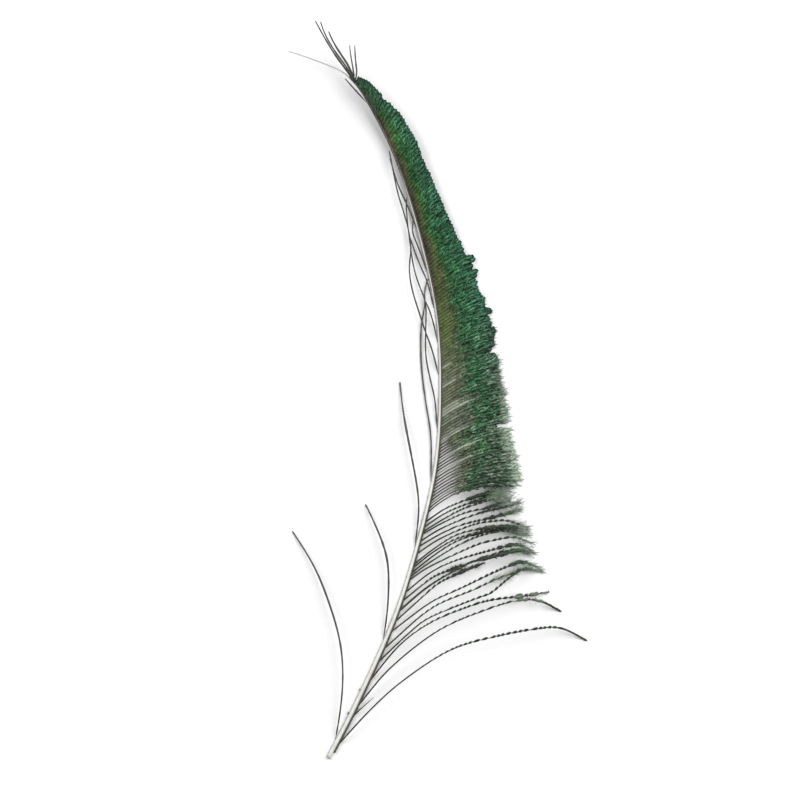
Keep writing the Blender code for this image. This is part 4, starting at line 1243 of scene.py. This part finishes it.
class Graph:
    """A new material's nodes, with short ways to add, fill and join them."""

    def __init__(self, name, roughness, metallic=0.0, specular=0.5):
        self.material = bpy.data.materials.new(name)
        self.material.use_nodes = True
        self.tree = self.material.node_tree
        self.shader = self.tree.nodes["Principled BSDF"]
        self.shader.inputs["Roughness"].default_value = roughness
        self.shader.inputs["Metallic"].default_value = metallic
        self.shader.inputs["Specular IOR Level"].default_value = specular

    def fill(self, socket, value):
        """Join an input to the socket given, or set it to a number, colour or vector."""
        if isinstance(value, bpy.types.NodeSocket):
            self.tree.links.new(value, socket)
        elif socket.type == "RGBA":
            socket.default_value = (*value, 1.0)
        else:
            socket.default_value = value

    def node(self, kind, inputs=None, **settings):
        """Add a node with its inputs filled."""
        made = self.tree.nodes.new(kind)
        for name, value in settings.items():
            setattr(made, name, value)
        for name, value in (inputs or {}).items():
            self.fill(made.inputs[name], value)
        return made

    def mark(self, name):
        """Value of one of the mesh's marks."""
        return self.node("ShaderNodeAttribute", attribute_name=name).outputs["Fac"]

    def math(self, operation, first, second):
        """Result of a two-number calculation."""
        return self.node("ShaderNodeMath", {0: first, 1: second}, operation=operation).outputs[0]

    def times(self, first, second):
        """Product of two numbers."""
        return self.math("MULTIPLY", first, second)

    def around_zero(self, value, reach):
        """Value between 0 and 1, moved to lie as far below 0 as above it and scaled."""
        return self.times(self.math("SUBTRACT", value, 0.5), reach)

    def noise(self, scale, detail, stretch=(1.0, 1.0, 1.0)):
        """Noise on Object coordinates, whose cells are 1/scale metres long."""
        place = self.node("ShaderNodeTexCoord").outputs["Object"]
        moved = self.node("ShaderNodeMapping", {"Vector": place, "Scale": stretch})
        made = self.node("ShaderNodeTexNoise", {"Vector": moved.outputs[0], "Scale": scale,
                                                "Detail": detail})
        return made.outputs["Fac"]

    def patch(self, x, y, heading, half_length, half_width):
        """1 in the middle of an ellipse in the plan, falling evenly to 0 at its rim."""
        place = self.node("ShaderNodeTexCoord").outputs["Object"]
        moved = self.node("ShaderNodeMapping", {
            "Vector": place, "Location": (x * MM, y * MM, 0.0),
            "Rotation": (0.0, 0.0, np.radians(heading)),
            "Scale": (half_length * MM, half_width * MM, 1.0)}, vector_type="TEXTURE")
        made = self.node("ShaderNodeTexGradient", {"Vector": moved.outputs[0]},
                         gradient_type="SPHERICAL")
        return made.outputs["Fac"]

    def ramp(self, value, stops):
        """Colour at a value between 0 and 1, from (position, colour) stops."""
        made = self.node("ShaderNodeValToRGB", {"Fac": value})
        band = made.color_ramp
        while len(band.elements) < len(stops):
            band.elements.new(0.5)
        for element, (position, shown) in zip(band.elements, stops):
            element.position = position
            element.color = (*shown, 1.0)
        return made.outputs["Color"]

    def mix(self, share, first, second, blend="MIX"):
        """Two colours mixed by a share."""
        made = self.node("ShaderNodeMix", data_type="RGBA", blend_type=blend)
        sockets = {socket.identifier: socket for socket in made.inputs}
        for name, value in (("Factor_Float", share), ("A_Color", first), ("B_Color", second)):
            self.fill(sockets[name], value)
        return next(item for item in made.outputs if item.identifier == "Result_Color")

    def range(self, value, low, high, to_low=0.0, to_high=1.0):
        """Value carried from one range to another, and kept inside it."""
        made = self.node("ShaderNodeMapRange", {"Value": value, "From Min": low, "From Max": high,
                                                "To Min": to_low, "To Max": to_high})
        return made.outputs["Result"]

    def grey(self, level):
        """Colour whose three parts are all one number."""
        return self.node("ShaderNodeCombineColor", {0: level, 1: level, 2: level}).outputs[0]

    def finish(self, base, height=None, depth=0.0, strength=0.0):
        """Join the colour to the shader, and a bump of a depth in metres if one is given."""
        self.fill(self.shader.inputs["Base Color"], base)
        if height is not None:
            bump = self.node("ShaderNodeBump", {"Height": height, "Distance": depth,
                                                "Strength": strength})
            self.fill(self.shader.inputs["Normal"], bump.outputs["Normal"])
        return self.material


def keratin_material(colours):
    """Pale horn, browner towards the tip, with painted shade where its section turns away at both sides:
    grey on its narrow side, and beside the root ridge.
    """
    graph = Graph("keratin", roughness=0.38)
    grain = graph.noise(900.0, 4.0, (1.0, 0.12, 1.0))
    body = graph.ramp(graph.mark("along"), [
        (0.0, colours.quill), (0.45, colours.quill), (0.56, colours.shaft_middle),
        (0.66, colours.shaft_brown), (0.79, colours.shaft_brown), (0.86, colours.shaft_dark)])
    streaked = graph.mix(graph.range(grain, 0.35, 0.7, 0.0, 0.35), body, colours.grain, "MULTIPLY")
    # Painted shade at the two sides of the section's top, where it turns away from the light: grey on
    # the narrow side, and beside the root ridge. The grain makes its edge ragged.
    ragged_around = graph.math("ADD", graph.mark("around"), graph.around_zero(grain, 0.12))
    seam = graph.ramp(ragged_around, [
        (0.0, colours.seam), (0.17, colours.inner_side_shade), (0.26, WHITE), (0.86, WHITE),
        (1.0, colours.ridge_shade)])
    return graph.finish(graph.mix(1.0, streaked, seam, "MULTIPLY"), grain,
                        depth=0.00006, strength=0.35)


def green_bands(graph, colours, across):
    """Colour bands across the low, middle and high web, and the patches low on it."""
    along = graph.mark("along")
    uneven = graph.math("ADD", across, graph.times(graph.mark("shade"), 0.22))
    low = graph.ramp(uneven, [
        (0.0, colours.low_brown), (0.24, colours.low_brown), (0.38, colours.low_olive),
        (0.54, colours.green), (0.66, colours.green), (0.8, colours.low_green)])
    lowest = graph.times(graph.range(along, 0.4, 0.47, 1.0, 0.0), graph.range(across, 0.42, 0.6))
    low = graph.mix(lowest, low, colours.low_green)
    middle = graph.ramp(across, [
        (0.0, colours.olive_light), (0.1, colours.olive_light), (0.25, colours.olive),
        (0.42, colours.green), (0.62, colours.green), (0.85, colours.teal)])
    high = graph.ramp(across, [
        (0.0, colours.root_brown), (0.07, colours.root_brown), (0.18, colours.olive),
        (0.32, colours.green_bright), (0.5, colours.green), (0.85, colours.teal)])
    base = graph.mix(graph.range(along, 0.5, 0.62), low, middle)
    base = graph.mix(graph.range(along, 0.64, 0.74), base, high)
    for x, y, heading, half_length, half_width, name, strength in PATCHES:
        share = graph.times(graph.patch(x, y, heading, half_length, half_width), strength)
        base = graph.mix(share, base, getattr(colours, name))
    return base


def green_strokes(graph, colours, across, base):
    """Painted light and shade on the ribbons.

    These are the pale rays, with a painted sheen on their crests, the painted strokes of light on the
    crests away from the ridge, the pale specks low on the web, the painted shade between crests, and,
    beside the ridge, painted shade between the barbs low on the web that turns to painted light on their
    edges higher up.
    """
    along, crest, glint = graph.mark("along"), graph.mark("crest"), graph.mark("glint")
    lowness = graph.range(along, 0.5, 0.66, 1.0, 0.0)
    outer = graph.range(across, 0.2, 0.5)
    # Pale rays along the lower barbs, painted strongest on the crests as a painted sheen.
    ray = graph.times(graph.range(crest, -0.3, 0.8), graph.mark("ray"))
    base = graph.mix(graph.times(ray, lowness), base, colours.low_ray_sheen)
    lit = graph.times(graph.range(crest, 0.25, 0.9), graph.range(glint, 0.45, 0.9, 0.0, 0.8))
    lit = graph.times(lit, graph.range(along, 0.4, 0.6, 0.2, 1.0))
    base = graph.mix(graph.times(lit, outer), base, colours.glint)
    speck = graph.times(graph.range(glint, 0.55, 0.9),
                        graph.range(graph.noise(420.0, 2.0), 0.44, 0.62))
    base = graph.mix(graph.times(graph.times(speck, lowness), outer), base, colours.speck)
    # Painted shade on the ribbons' edges between their crests, deeper where the glint mark is low.
    valley_shade = graph.times(graph.range(crest, 0.0, 0.6, 0.5, 1.2),
                         graph.range(glint, 0.0, 0.5, 0.5, 1.0))
    base = graph.mix(outer, base, graph.grey(valley_shade), "MULTIPLY")
    # Beside the ridge: painted shade on the ribbons' edges between the barbs low on the web, which turns
    # to painted light on those edges higher up.
    inner = graph.times(graph.math("SUBTRACT", 1.0, outer),
                        graph.range(along, 0.74, 0.82, 1.0, 0.0))
    edge_shade_and_light = graph.range(crest, 0.1, 0.7, graph.range(along, 0.47, 0.58, 0.4, 1.15), 1.02)
    return graph.mix(inner, base, graph.grey(edge_shade_and_light), "MULTIPLY")


def green_ends(graph, colours, base):
    """Ends of the barbs, dark high on the web and pale low on it, and the bare stems.

    Between these two, all is made uneven and darkened by the WEB_LEVELS.
    """
    along, rim = graph.mark("along"), graph.mark("rim")
    edge = graph.mix(graph.range(along, 0.43, 0.58), colours.edge_pale, colours.edge_dark)
    base = graph.mix(graph.times(rim, 0.85), base, edge)
    spots = graph.range(graph.noise(700.0, 2.0), 0.3, 0.7, 0.75, 1.3)
    patches = graph.range(graph.noise(260.0, 3.0), 0.35, 0.65, 0.7, 1.25)
    level = graph.times(graph.times(spots, patches),
                        graph.range(graph.mark("shade"), -1.0, 1.0, 0.65, 1.35))
    base = graph.mix(graph.range(rim, 0.0, 1.0, 1.0, 0.25), base, graph.grey(level), "MULTIPLY")
    depth = graph.ramp(along, [(place, (value, value, value)) for place, value in WEB_LEVELS])
    base = graph.mix(1.0, base, depth, "MULTIPLY")
    base = graph.mix(graph.range(graph.mark("feathered"), 0.0, 0.6), colours.stem, base)
    # The palest barbs take the pale ray colour, with its painted sheen, across their whole width.
    return graph.mix(graph.range(graph.mark("ray"), 0.6, 0.95, 0.0, 0.8), base, colours.low_ray_sheen)


def green_material(colours):
    """Barbules, from brown at the ridge through green to blue-green at the edge.

    The colour bands run across the vane and shift with the station. Away from the ridge, the crest of a
    ribbon has painted strokes of light that follow its rocking, and its edges have painted shade. Bare
    stems are near black.
    """
    graph = Graph("barbule_green", roughness=0.45, metallic=0.15, specular=0.2)
    wander = graph.around_zero(graph.noise(110.0, 3.0), 0.35)
    across = graph.math("ADD", graph.mark("across"), wander)
    base = green_bands(graph, colours, across)
    base = green_strokes(graph, colours, across, base)
    base = green_ends(graph, colours, base)
    return graph.finish(base, graph.noise(2500.0, 2.0), depth=0.00004, strength=0.3)


def loose_material(colours):
    """Loose barbs: near-black stems, and ribbons that turn dark green near their ends."""
    graph = Graph("barbule_loose", roughness=0.5, metallic=0.15, specular=0.2)
    wander = graph.math("ADD", graph.mark("across"), graph.around_zero(graph.noise(150.0, 3.0), 0.7))
    base = graph.ramp(wander, [
        (0.0, colours.stem), (0.45, colours.loose_dark), (0.8, colours.loose_dark),
        (0.92, colours.loose_green), (1.0, colours.loose_end)])
    spots = graph.range(graph.noise(900.0, 2.0), 0.3, 0.7, 0.55, 1.6)
    level = graph.times(graph.range(graph.mark("shade"), -1.0, 1.0, 0.6, 1.4), spots)
    base = graph.mix(1.0, base, graph.grey(level), "MULTIPLY")
    # Pale necks between the dashes: a painted glint of the thin ribbon turned edge-on.
    base = graph.mix(graph.range(graph.mark("glint"), 0.0, 0.3), colours.neck, base)
    base = graph.mix(graph.times(graph.mark("rim"), 0.8), base, colours.loose_fringe)
    return graph.finish(base, graph.noise(2500.0, 2.0), depth=0.00004, strength=0.3)


def single_material(name, dark, light):
    """Thin single barb: two near colours that change with its swelling and by noise."""
    graph = Graph(name, roughness=0.55)
    speckle = graph.noise(1500.0, 3.0)
    share = graph.times(graph.mark("glint"), speckle)
    return graph.finish(graph.mix(share, dark, light), speckle, depth=0.00003, strength=0.3)


def stray_material(colours):
    """The dark single barbs' material, made once for the narrow side and the tip."""
    return bpy.data.materials.get("stray_barb") or single_material(
        "stray_barb", colours.stray_dark, colours.stray_light)


def ridge_material(colours):
    """Root ridge: near black beside the quill, brown beside the web."""
    graph = Graph("ridge", roughness=0.5)
    speckle = graph.noise(1200.0, 3.0)
    base = graph.ramp(graph.mark("along"), [
        (0.0, colours.ridge), (0.55, colours.ridge), (0.72, colours.ridge_brown),
        (1.0, colours.ridge_brown)])
    base = graph.mix(graph.range(speckle, 0.4, 0.7, 0.0, 0.5), base, colours.ridge_speckle)
    return graph.finish(base, speckle, depth=0.00005, strength=0.4)


def floor_material(stage):
    """Plain matt white floor, with a faint unevenness."""
    graph = Graph("white_floor", roughness=0.9, specular=0.1)
    tone = graph.range(graph.noise(3.0, 2.0), 0.3, 0.7, 0.0, 0.02)
    return graph.finish(graph.mix(tone, stage.floor_colour, stage.floor_shade))


# ---- settings

def length(name, description, millimetres):
    """Length property with its default given in millimetres."""
    return FloatProperty(name=name, description=description, default=millimetres * MM,
                         min=0.0, unit="LENGTH", precision=6)


def colour(name, description, value):
    """Colour property in linear numbers."""
    return FloatVectorProperty(name=name, description=description, default=value,
                               min=0.0, max=1.0, subtype="COLOR")


class WebSettings(bpy.types.PropertyGroup):
    """Sizes of the dense web."""

    stem_radius: length("Stem radius", "Radius of a barb where it leaves the ridge", 0.36)
    cover: FloatProperty(name="Cover", description="Width of a ribbon as a share of the pitch",
                         default=1.42, min=0.2, max=3.0)
    wander: length("Wander", "How far chance bends a barb to each side", 0.42)
    barbule_length: length("Barbule length", "Length of the longest barbules", 1.0)
    barbule_spacing: length("Barbule spacing", "Distance between barbules on one edge", 0.45)
    barbule_width: length("Barbule width", "Width of a barbule at its widest", 0.34)
    leaf_length: length("Leaf length", "Length of a bundle of barbules", 3.2)
    leaf_spacing: length("Leaf spacing", "Distance between bundles on one edge", 2.0)
    leaf_width: length("Leaf width", "Width of a bundle", 1.2)
    stroke_length: length("Stroke length", "Length of one rocking of the ribbon", 1.9)
    lean: FloatProperty(name="Lean", description="Degrees that a ribbon leans over its neighbour",
                        default=14.0, min=0.0, max=60.0)
    rocking: FloatProperty(name="Rocking", description="Degrees that the ribbons rock each way",
                           default=26.0, min=0.0, max=80.0)


class LooseSettings(bpy.types.PropertyGroup):
    """Sizes of the loose lower barbs."""

    sections: IntProperty(name="Sections", description="Rings along a barb", default=250, min=20)
    stem_radius: length("Stem radius", "Radius of a barb where it leaves the ridge", 0.46)
    ribbon: length("Ribbon", "How far a dash widens the stem to each side", 0.4)
    barbule_length: length("Barbule length", "Length of the longest barbules", 0.75)
    barbule_spacing: length("Barbule spacing", "Distance between barbules on one edge", 0.45)
    barbule_width: length("Barbule width", "Width of a barbule at its root", 0.3)
    dash_length: length("Dash length", "Distance from one dash to the next", 3.5)


class ShaftSettings(bpy.types.PropertyGroup):
    """Fineness of the shaft and the ridge."""

    rows: IntProperty(name="Rows", description="Rings along the shaft", default=260, min=20)
    sides: IntProperty(name="Sides", description="Points round the top of the section",
                       default=17, min=5)
    stubble: IntProperty(name="Stubble", description="Nubs on the trimmed narrow side",
                         default=210, min=1)


class FeatherColours(bpy.types.PropertyGroup):
    """Colours of the feather."""

    quill: colour("Quill", "Pale lower shaft", (0.53, 0.53, 0.5))
    shaft_middle: colour("Middle shaft", "Shaft beside the web", (0.41, 0.41, 0.38))
    shaft_brown: colour("Brown shaft", "Upper shaft", (0.35, 0.345, 0.325))
    shaft_dark: colour("Dark shaft", "Shaft near the tip", (0.05, 0.042, 0.03))
    grain: colour("Grain", "Factor of the shaft's darker streaks", (0.42, 0.36, 0.27))
    # Painted shade factors at the sides of the shaft's section: the first two on its narrow side, the
    # last beside the root ridge.
    seam: colour("Seam", "Factor at the shaft's narrow side", (0.35, 0.33, 0.3))
    inner_side_shade: colour("Inner seam", "Factor a little further in", (0.4, 0.38, 0.34))
    ridge_shade: colour("Ridge shade", "Factor beside the root ridge", (0.45, 0.42, 0.36))
    stubble_dark: colour("Stubble", "Nubs of the trimmed side", (0.1, 0.095, 0.085))
    stubble_light: colour("Light stubble", "Lighter spots of the nubs", (0.3, 0.28, 0.25))
    ridge: colour("Ridge", "Root ridge beside the quill", (0.02, 0.018, 0.014))
    ridge_brown: colour("Brown ridge", "Root ridge beside the web", (0.05, 0.036, 0.02))
    ridge_speckle: colour("Ridge speckle", "Lighter spots of the ridge", (0.09, 0.08, 0.06))
    stem: colour("Stem", "Bare stems of the barbs", (0.042, 0.042, 0.031))
    root_brown: colour("Root brown", "Web beside the ridge", (0.056, 0.052, 0.031))
    olive: colour("Olive", "Inner band of the web", (0.085, 0.1, 0.04))
    green_bright: colour("Bright green", "Band outside the olive one", (0.035, 0.125, 0.03))
    green: colour("Green", "Middle of the web", (0.028, 0.11, 0.042))
    teal: colour("Blue green", "Outer band", (0.022, 0.09, 0.05))
    edge_dark: colour("Dark edge", "Ends of the upper barbs", (0.01, 0.042, 0.027))
    olive_light: colour("Light olive", "Web beside the ridge, half way up", (0.098, 0.136, 0.046))
    glint: colour("Glint", "Strokes where the ribbons face up", (0.066, 0.23, 0.12))
    low_brown: colour("Low brown", "Inner part low on the web", (0.122, 0.138, 0.088))
    low_olive: colour("Low olive", "Second part low on the web", (0.065, 0.082, 0.047))
    low_green: colour("Low green", "Outer part low on the web", (0.042, 0.075, 0.045))
    speck: colour("Speck", "Pale barbules low on the web", (0.2, 0.22, 0.175))
    patch_brown: colour("Brown patch", "Low patch of olive brown", (0.08, 0.085, 0.048))
    patch_green: colour("Green patch", "Low patches of deep green", (0.026, 0.088, 0.036))
    patch_bright: colour("Bright patch", "Low streak of bright green", (0.055, 0.19, 0.04))
    # A pale colour with a painted sheen, on the crests of the lower barbs.
    low_ray_sheen: colour("Low ray", "Light line along the lower barbs", (0.27, 0.295, 0.235))
    edge_pale: colour("Pale edge", "Ends of the lower barbs", (0.36, 0.46, 0.34))
    loose_dark: colour("Loose dark", "Middle of the loose barbs", (0.018, 0.026, 0.016))
    loose_green: colour("Loose green", "Outer part of the loose barbs", (0.025, 0.06, 0.024))
    loose_end: colour("Loose end", "Ends of the loose barbs", (0.045, 0.08, 0.045))
    # Painted glint of the loose barbs' necks.
    neck: colour("Neck", "Loose barbs between two dashes", (0.16, 0.16, 0.14))
    loose_fringe: colour("Loose fringe", "Fine hairs at the loose barbs' ends", (0.18, 0.22, 0.17))
    stray_dark: colour("Stray dark", "Stray barbs", (0.026, 0.026, 0.022))
    stray_light: colour("Stray light", "Turned parts of stray barbs", (0.038, 0.038, 0.032))
    pale: colour("Pale barb", "The pale barb of the tip", (0.3, 0.3, 0.28))
    pale_light: colour("Light pale barb", "Its lighter spots", (0.5, 0.5, 0.48))
    tuft_dark: colour("Tip tuft", "Dark tuft where the web ends", (0.012, 0.03, 0.014))
    tuft_light: colour("Light tip tuft", "Its lighter spots", (0.035, 0.06, 0.025))


class StageSettings(bpy.types.PropertyGroup):
    """Floor, lights and camera."""

    floor_colour: colour("Floor", "Colour of the floor", (0.615, 0.615, 0.615))
    floor_shade: colour("Floor shade", "Colour that it turns towards in places", (0.5, 0.5, 0.5))
    key_power: FloatProperty(name="Key light", description="Power of the right soft light",
                             default=118.0, min=0.0, unit="POWER")
    fill_power: FloatProperty(name="Fill light", description="Power of the left soft light",
                              default=62.0, min=0.0, unit="POWER")
    world_strength: FloatProperty(name="Surround", description="Strength of the white surround",
                                  default=0.25, min=0.0)
    view_width: length("View width", "Width that the camera sees", 440.0)
    view_x: FloatProperty(name="View X", description="Middle of the view", default=-0.0206,
                          unit="LENGTH", precision=5)
    view_y: FloatProperty(name="View Y", description="Middle of the view", default=-0.0055,
                          unit="LENGTH", precision=5)


GROUPS = {"feather_web": WebSettings, "feather_loose": LooseSettings,
          "feather_shaft": ShaftSettings, "feather_colours": FeatherColours,
          "feather_stage": StageSettings}


# ---- operators

class MakeShaft(bpy.types.Operator):
    """Make the pale shaft and the stubble of its trimmed narrow side"""

    bl_idname = "feather.make_shaft"
    bl_label = "Shaft"

    def execute(self, context):
        settings, colours = context.scene.feather_shaft, context.scene.feather_colours
        put_piece("fine_shaft", [shaft_shape(settings.rows, settings.sides)],
                  keratin_material(colours), ["shaft"])
        put_piece("stubble", [stem_tubes(stubble_stems(settings.stubble))],
                  single_material("stubble", colours.stubble_dark, colours.stubble_light),
                  [])
        return {"FINISHED"}


class MakeRidge(bpy.types.Operator):
    """Make the dark root ridge, the broken barb and the nubs of lost ones"""

    bl_idname = "feather.make_ridge"
    bl_label = "Root ridge"

    def execute(self, context):
        put_piece("root_ridge", [stem_tubes(ridge_stems(), RIDGE_NETS["ridge"]),
                                 stem_tubes(stub_stems(), RIDGE_NETS["stubs"])],
                  ridge_material(context.scene.feather_colours), ["broad_vane"])
        return {"FINISHED"}


class MakeWeb(bpy.types.Operator):
    """Make the dense green web of barbs in three pieces"""

    bl_idname = "feather.make_web"
    bl_label = "Dense web"

    def execute(self, context):
        web = context.scene.feather_web
        material = green_material(context.scene.feather_colours)
        for name, (low, high) in WEB_PIECES.items():
            stems, bare, reach, draw = web_stems(low, high, web)
            single = single_barbule(web.barbule_spacing / MM, web.barbule_width / MM)
            blades = barbules(stems, bare, reach, single, draw, WEB_NETS["barbules"])
            leaves = web_leaves(stems, bare, web, draw)
            put_piece(name, [stem_tubes(stems, WEB_NETS["stems"]), blades, leaves,
                             *web_fringe(stems, draw)], material, ["broad_vane"])
        return {"FINISHED"}


class MakeLooseBarbs(bpy.types.Operator):
    """Make the loose lower barbs, with their turning ribbons and fine ends"""

    bl_idname = "feather.make_loose_barbs"
    bl_label = "Loose barbs"

    def execute(self, context):
        loose = context.scene.feather_loose
        material = loose_material(context.scene.feather_colours)
        stems, reach, draw = loose_stems(loose)
        single = single_barbule(loose.barbule_spacing / MM, loose.barbule_width / MM)
        blades = barbules(stems, np.full(len(stems.line), LOOSE_BARE), reach, single, draw,
                          LOOSE_NETS["barbules"])
        put_piece("loose_barbs", [stem_tubes(stems, LOOSE_NETS["stems"]), blades,
                                  loose_fans(stems, draw), *tuft_shapes(stems, draw)],
                  material, ["broad_vane"])
        return {"FINISHED"}


class MakeNarrowBarbs(bpy.types.Operator):
    """Make the single stray barbs of the narrow side"""

    bl_idname = "feather.make_narrow_barbs"
    bl_label = "Stray barbs"

    def execute(self, context):
        material = stray_material(context.scene.feather_colours)
        for index, (station, passed) in enumerate(NARROW_BARBS):
            radii = LOW_STRAY_RADII if is_low(station) else STRAY_RADII
            stems, draw = stray_stems(narrow_line(station, passed), radii, NARROW_SEED + index)
            put_single_barb(f"narrow_barb_{index + 1}", stems, draw, NARROW_BARBULES,
                            material)
        return {"FINISHED"}


class MakeTipBarbs(bpy.types.Operator):
    """Make the barbs that fan out past the tip"""

    bl_idname = "feather.make_tip_barbs"
    bl_label = "Tip barbs"

    def execute(self, context):
        colours = context.scene.feather_colours
        put_piece("tip_tuft", [stem_tubes(tip_tuft_stems())],
                  single_material("tip_tuft", colours.tuft_dark, colours.tuft_light),
                  ["broad_vane"])
        dark = stray_material(colours)
        pale = single_material("pale_barb", colours.pale, colours.pale_light)
        for index, (tip, leave, arrive) in enumerate(TIP_BARBS):
            line = tip_line(np.array(TIP_ROOTS[index]), tip, leave, arrive)
            stems, draw = stray_stems(line, TIP_RADII[index], TIP_SEED + index)
            is_pale = index == len(TIP_BARBS) - 1
            put_single_barb(f"tip_barb_{index + 1}", stems, draw, TIP_BARBULES,
                            pale if is_pale else dark)
        return {"FINISHED"}


def soft_light(name, power, size, place):
    """Square area light that looks at the middle of the feather."""
    data = bpy.data.lights.new(name, "AREA")
    data.energy = power
    data.shape = "SQUARE"
    data.size = size
    light = bpy.data.objects.new(name, data)
    bpy.context.scene.collection.objects.link(light)
    light.location = place
    light.rotation_euler = (-light.location).to_track_quat("-Z", "Y").to_euler()


class MakeStage(bpy.types.Operator):
    """Make the white floor, the soft lights and the camera that looks straight down"""

    bl_idname = "feather.make_stage"
    bl_label = "Studio"

    def execute(self, context):
        stage = context.scene.feather_stage
        mesh = bpy.data.meshes.new("floor")
        corners = [(-1, -1), (1, -1), (1, 1), (-1, 1)]
        mesh.from_pydata([(FLOOR_HALF * x, FLOOR_HALF * y, 0.0) for x, y in corners], [],
                         [(0, 1, 2, 3)])
        mesh.materials.append(floor_material(stage))
        floor = bpy.data.objects.new("floor", mesh)
        context.scene.collection.objects.link(floor)

        soft_light("key", stage.key_power, *KEY_LIGHT)
        soft_light("fill", stage.fill_power, *FILL_LIGHT)
        world = bpy.data.worlds.new("white_surround")
        world.use_nodes = True
        background = world.node_tree.nodes["Background"]
        background.inputs["Color"].default_value = (*WHITE, 1.0)
        background.inputs["Strength"].default_value = stage.world_strength
        context.scene.world = world
        context.scene.view_settings.view_transform = "Standard"

        data = bpy.data.cameras.new("camera")
        data.type = "ORTHO"
        data.ortho_scale = stage.view_width
        camera = bpy.data.objects.new("camera", data)
        camera.location = (stage.view_x, stage.view_y, CAMERA_HEIGHT)
        context.scene.collection.objects.link(camera)
        context.scene.camera = camera
        return {"FINISHED"}


OPERATORS = (MakeStage, MakeShaft, MakeRidge, MakeWeb, MakeLooseBarbs, MakeNarrowBarbs,
             MakeTipBarbs)


class FeatherPanel(bpy.types.Panel):
    """Lists the feather's pieces in the sidebar"""

    bl_idname = "VIEW3D_PT_feather"
    bl_label = "Peacock Sword Feather"
    bl_space_type = "VIEW_3D"
    bl_region_type = "UI"
    bl_category = "Feather"

    def draw(self, context):
        for operator in OPERATORS:
            self.layout.operator(operator.bl_idname)
        for name in GROUPS:
            box = self.layout.box()
            group = getattr(context.scene, name)
            for field in group.__annotations__:
                box.prop(group, field)


def register():
    """Register the classes and give each scene its settings."""
    for kind in (*GROUPS.values(), *OPERATORS, FeatherPanel):
        bpy.utils.register_class(kind)
    for name, kind in GROUPS.items():
        setattr(bpy.types.Scene, name, PointerProperty(type=kind))


def unregister():
    """Undo register, the last class first."""
    for name in GROUPS:
        delattr(bpy.types.Scene, name)
    for kind in reversed((*GROUPS.values(), *OPERATORS, FeatherPanel)):
        bpy.utils.unregister_class(kind)


def main():
    """Make the whole feather and its stage."""
    register()
    bpy.ops.feather.make_stage()
    bpy.ops.feather.make_shaft()
    bpy.ops.feather.make_ridge()
    bpy.ops.feather.make_web()
    bpy.ops.feather.make_loose_barbs()
    bpy.ops.feather.make_narrow_barbs()
    bpy.ops.feather.make_tip_barbs()


if __name__ == "__main__":
    main()
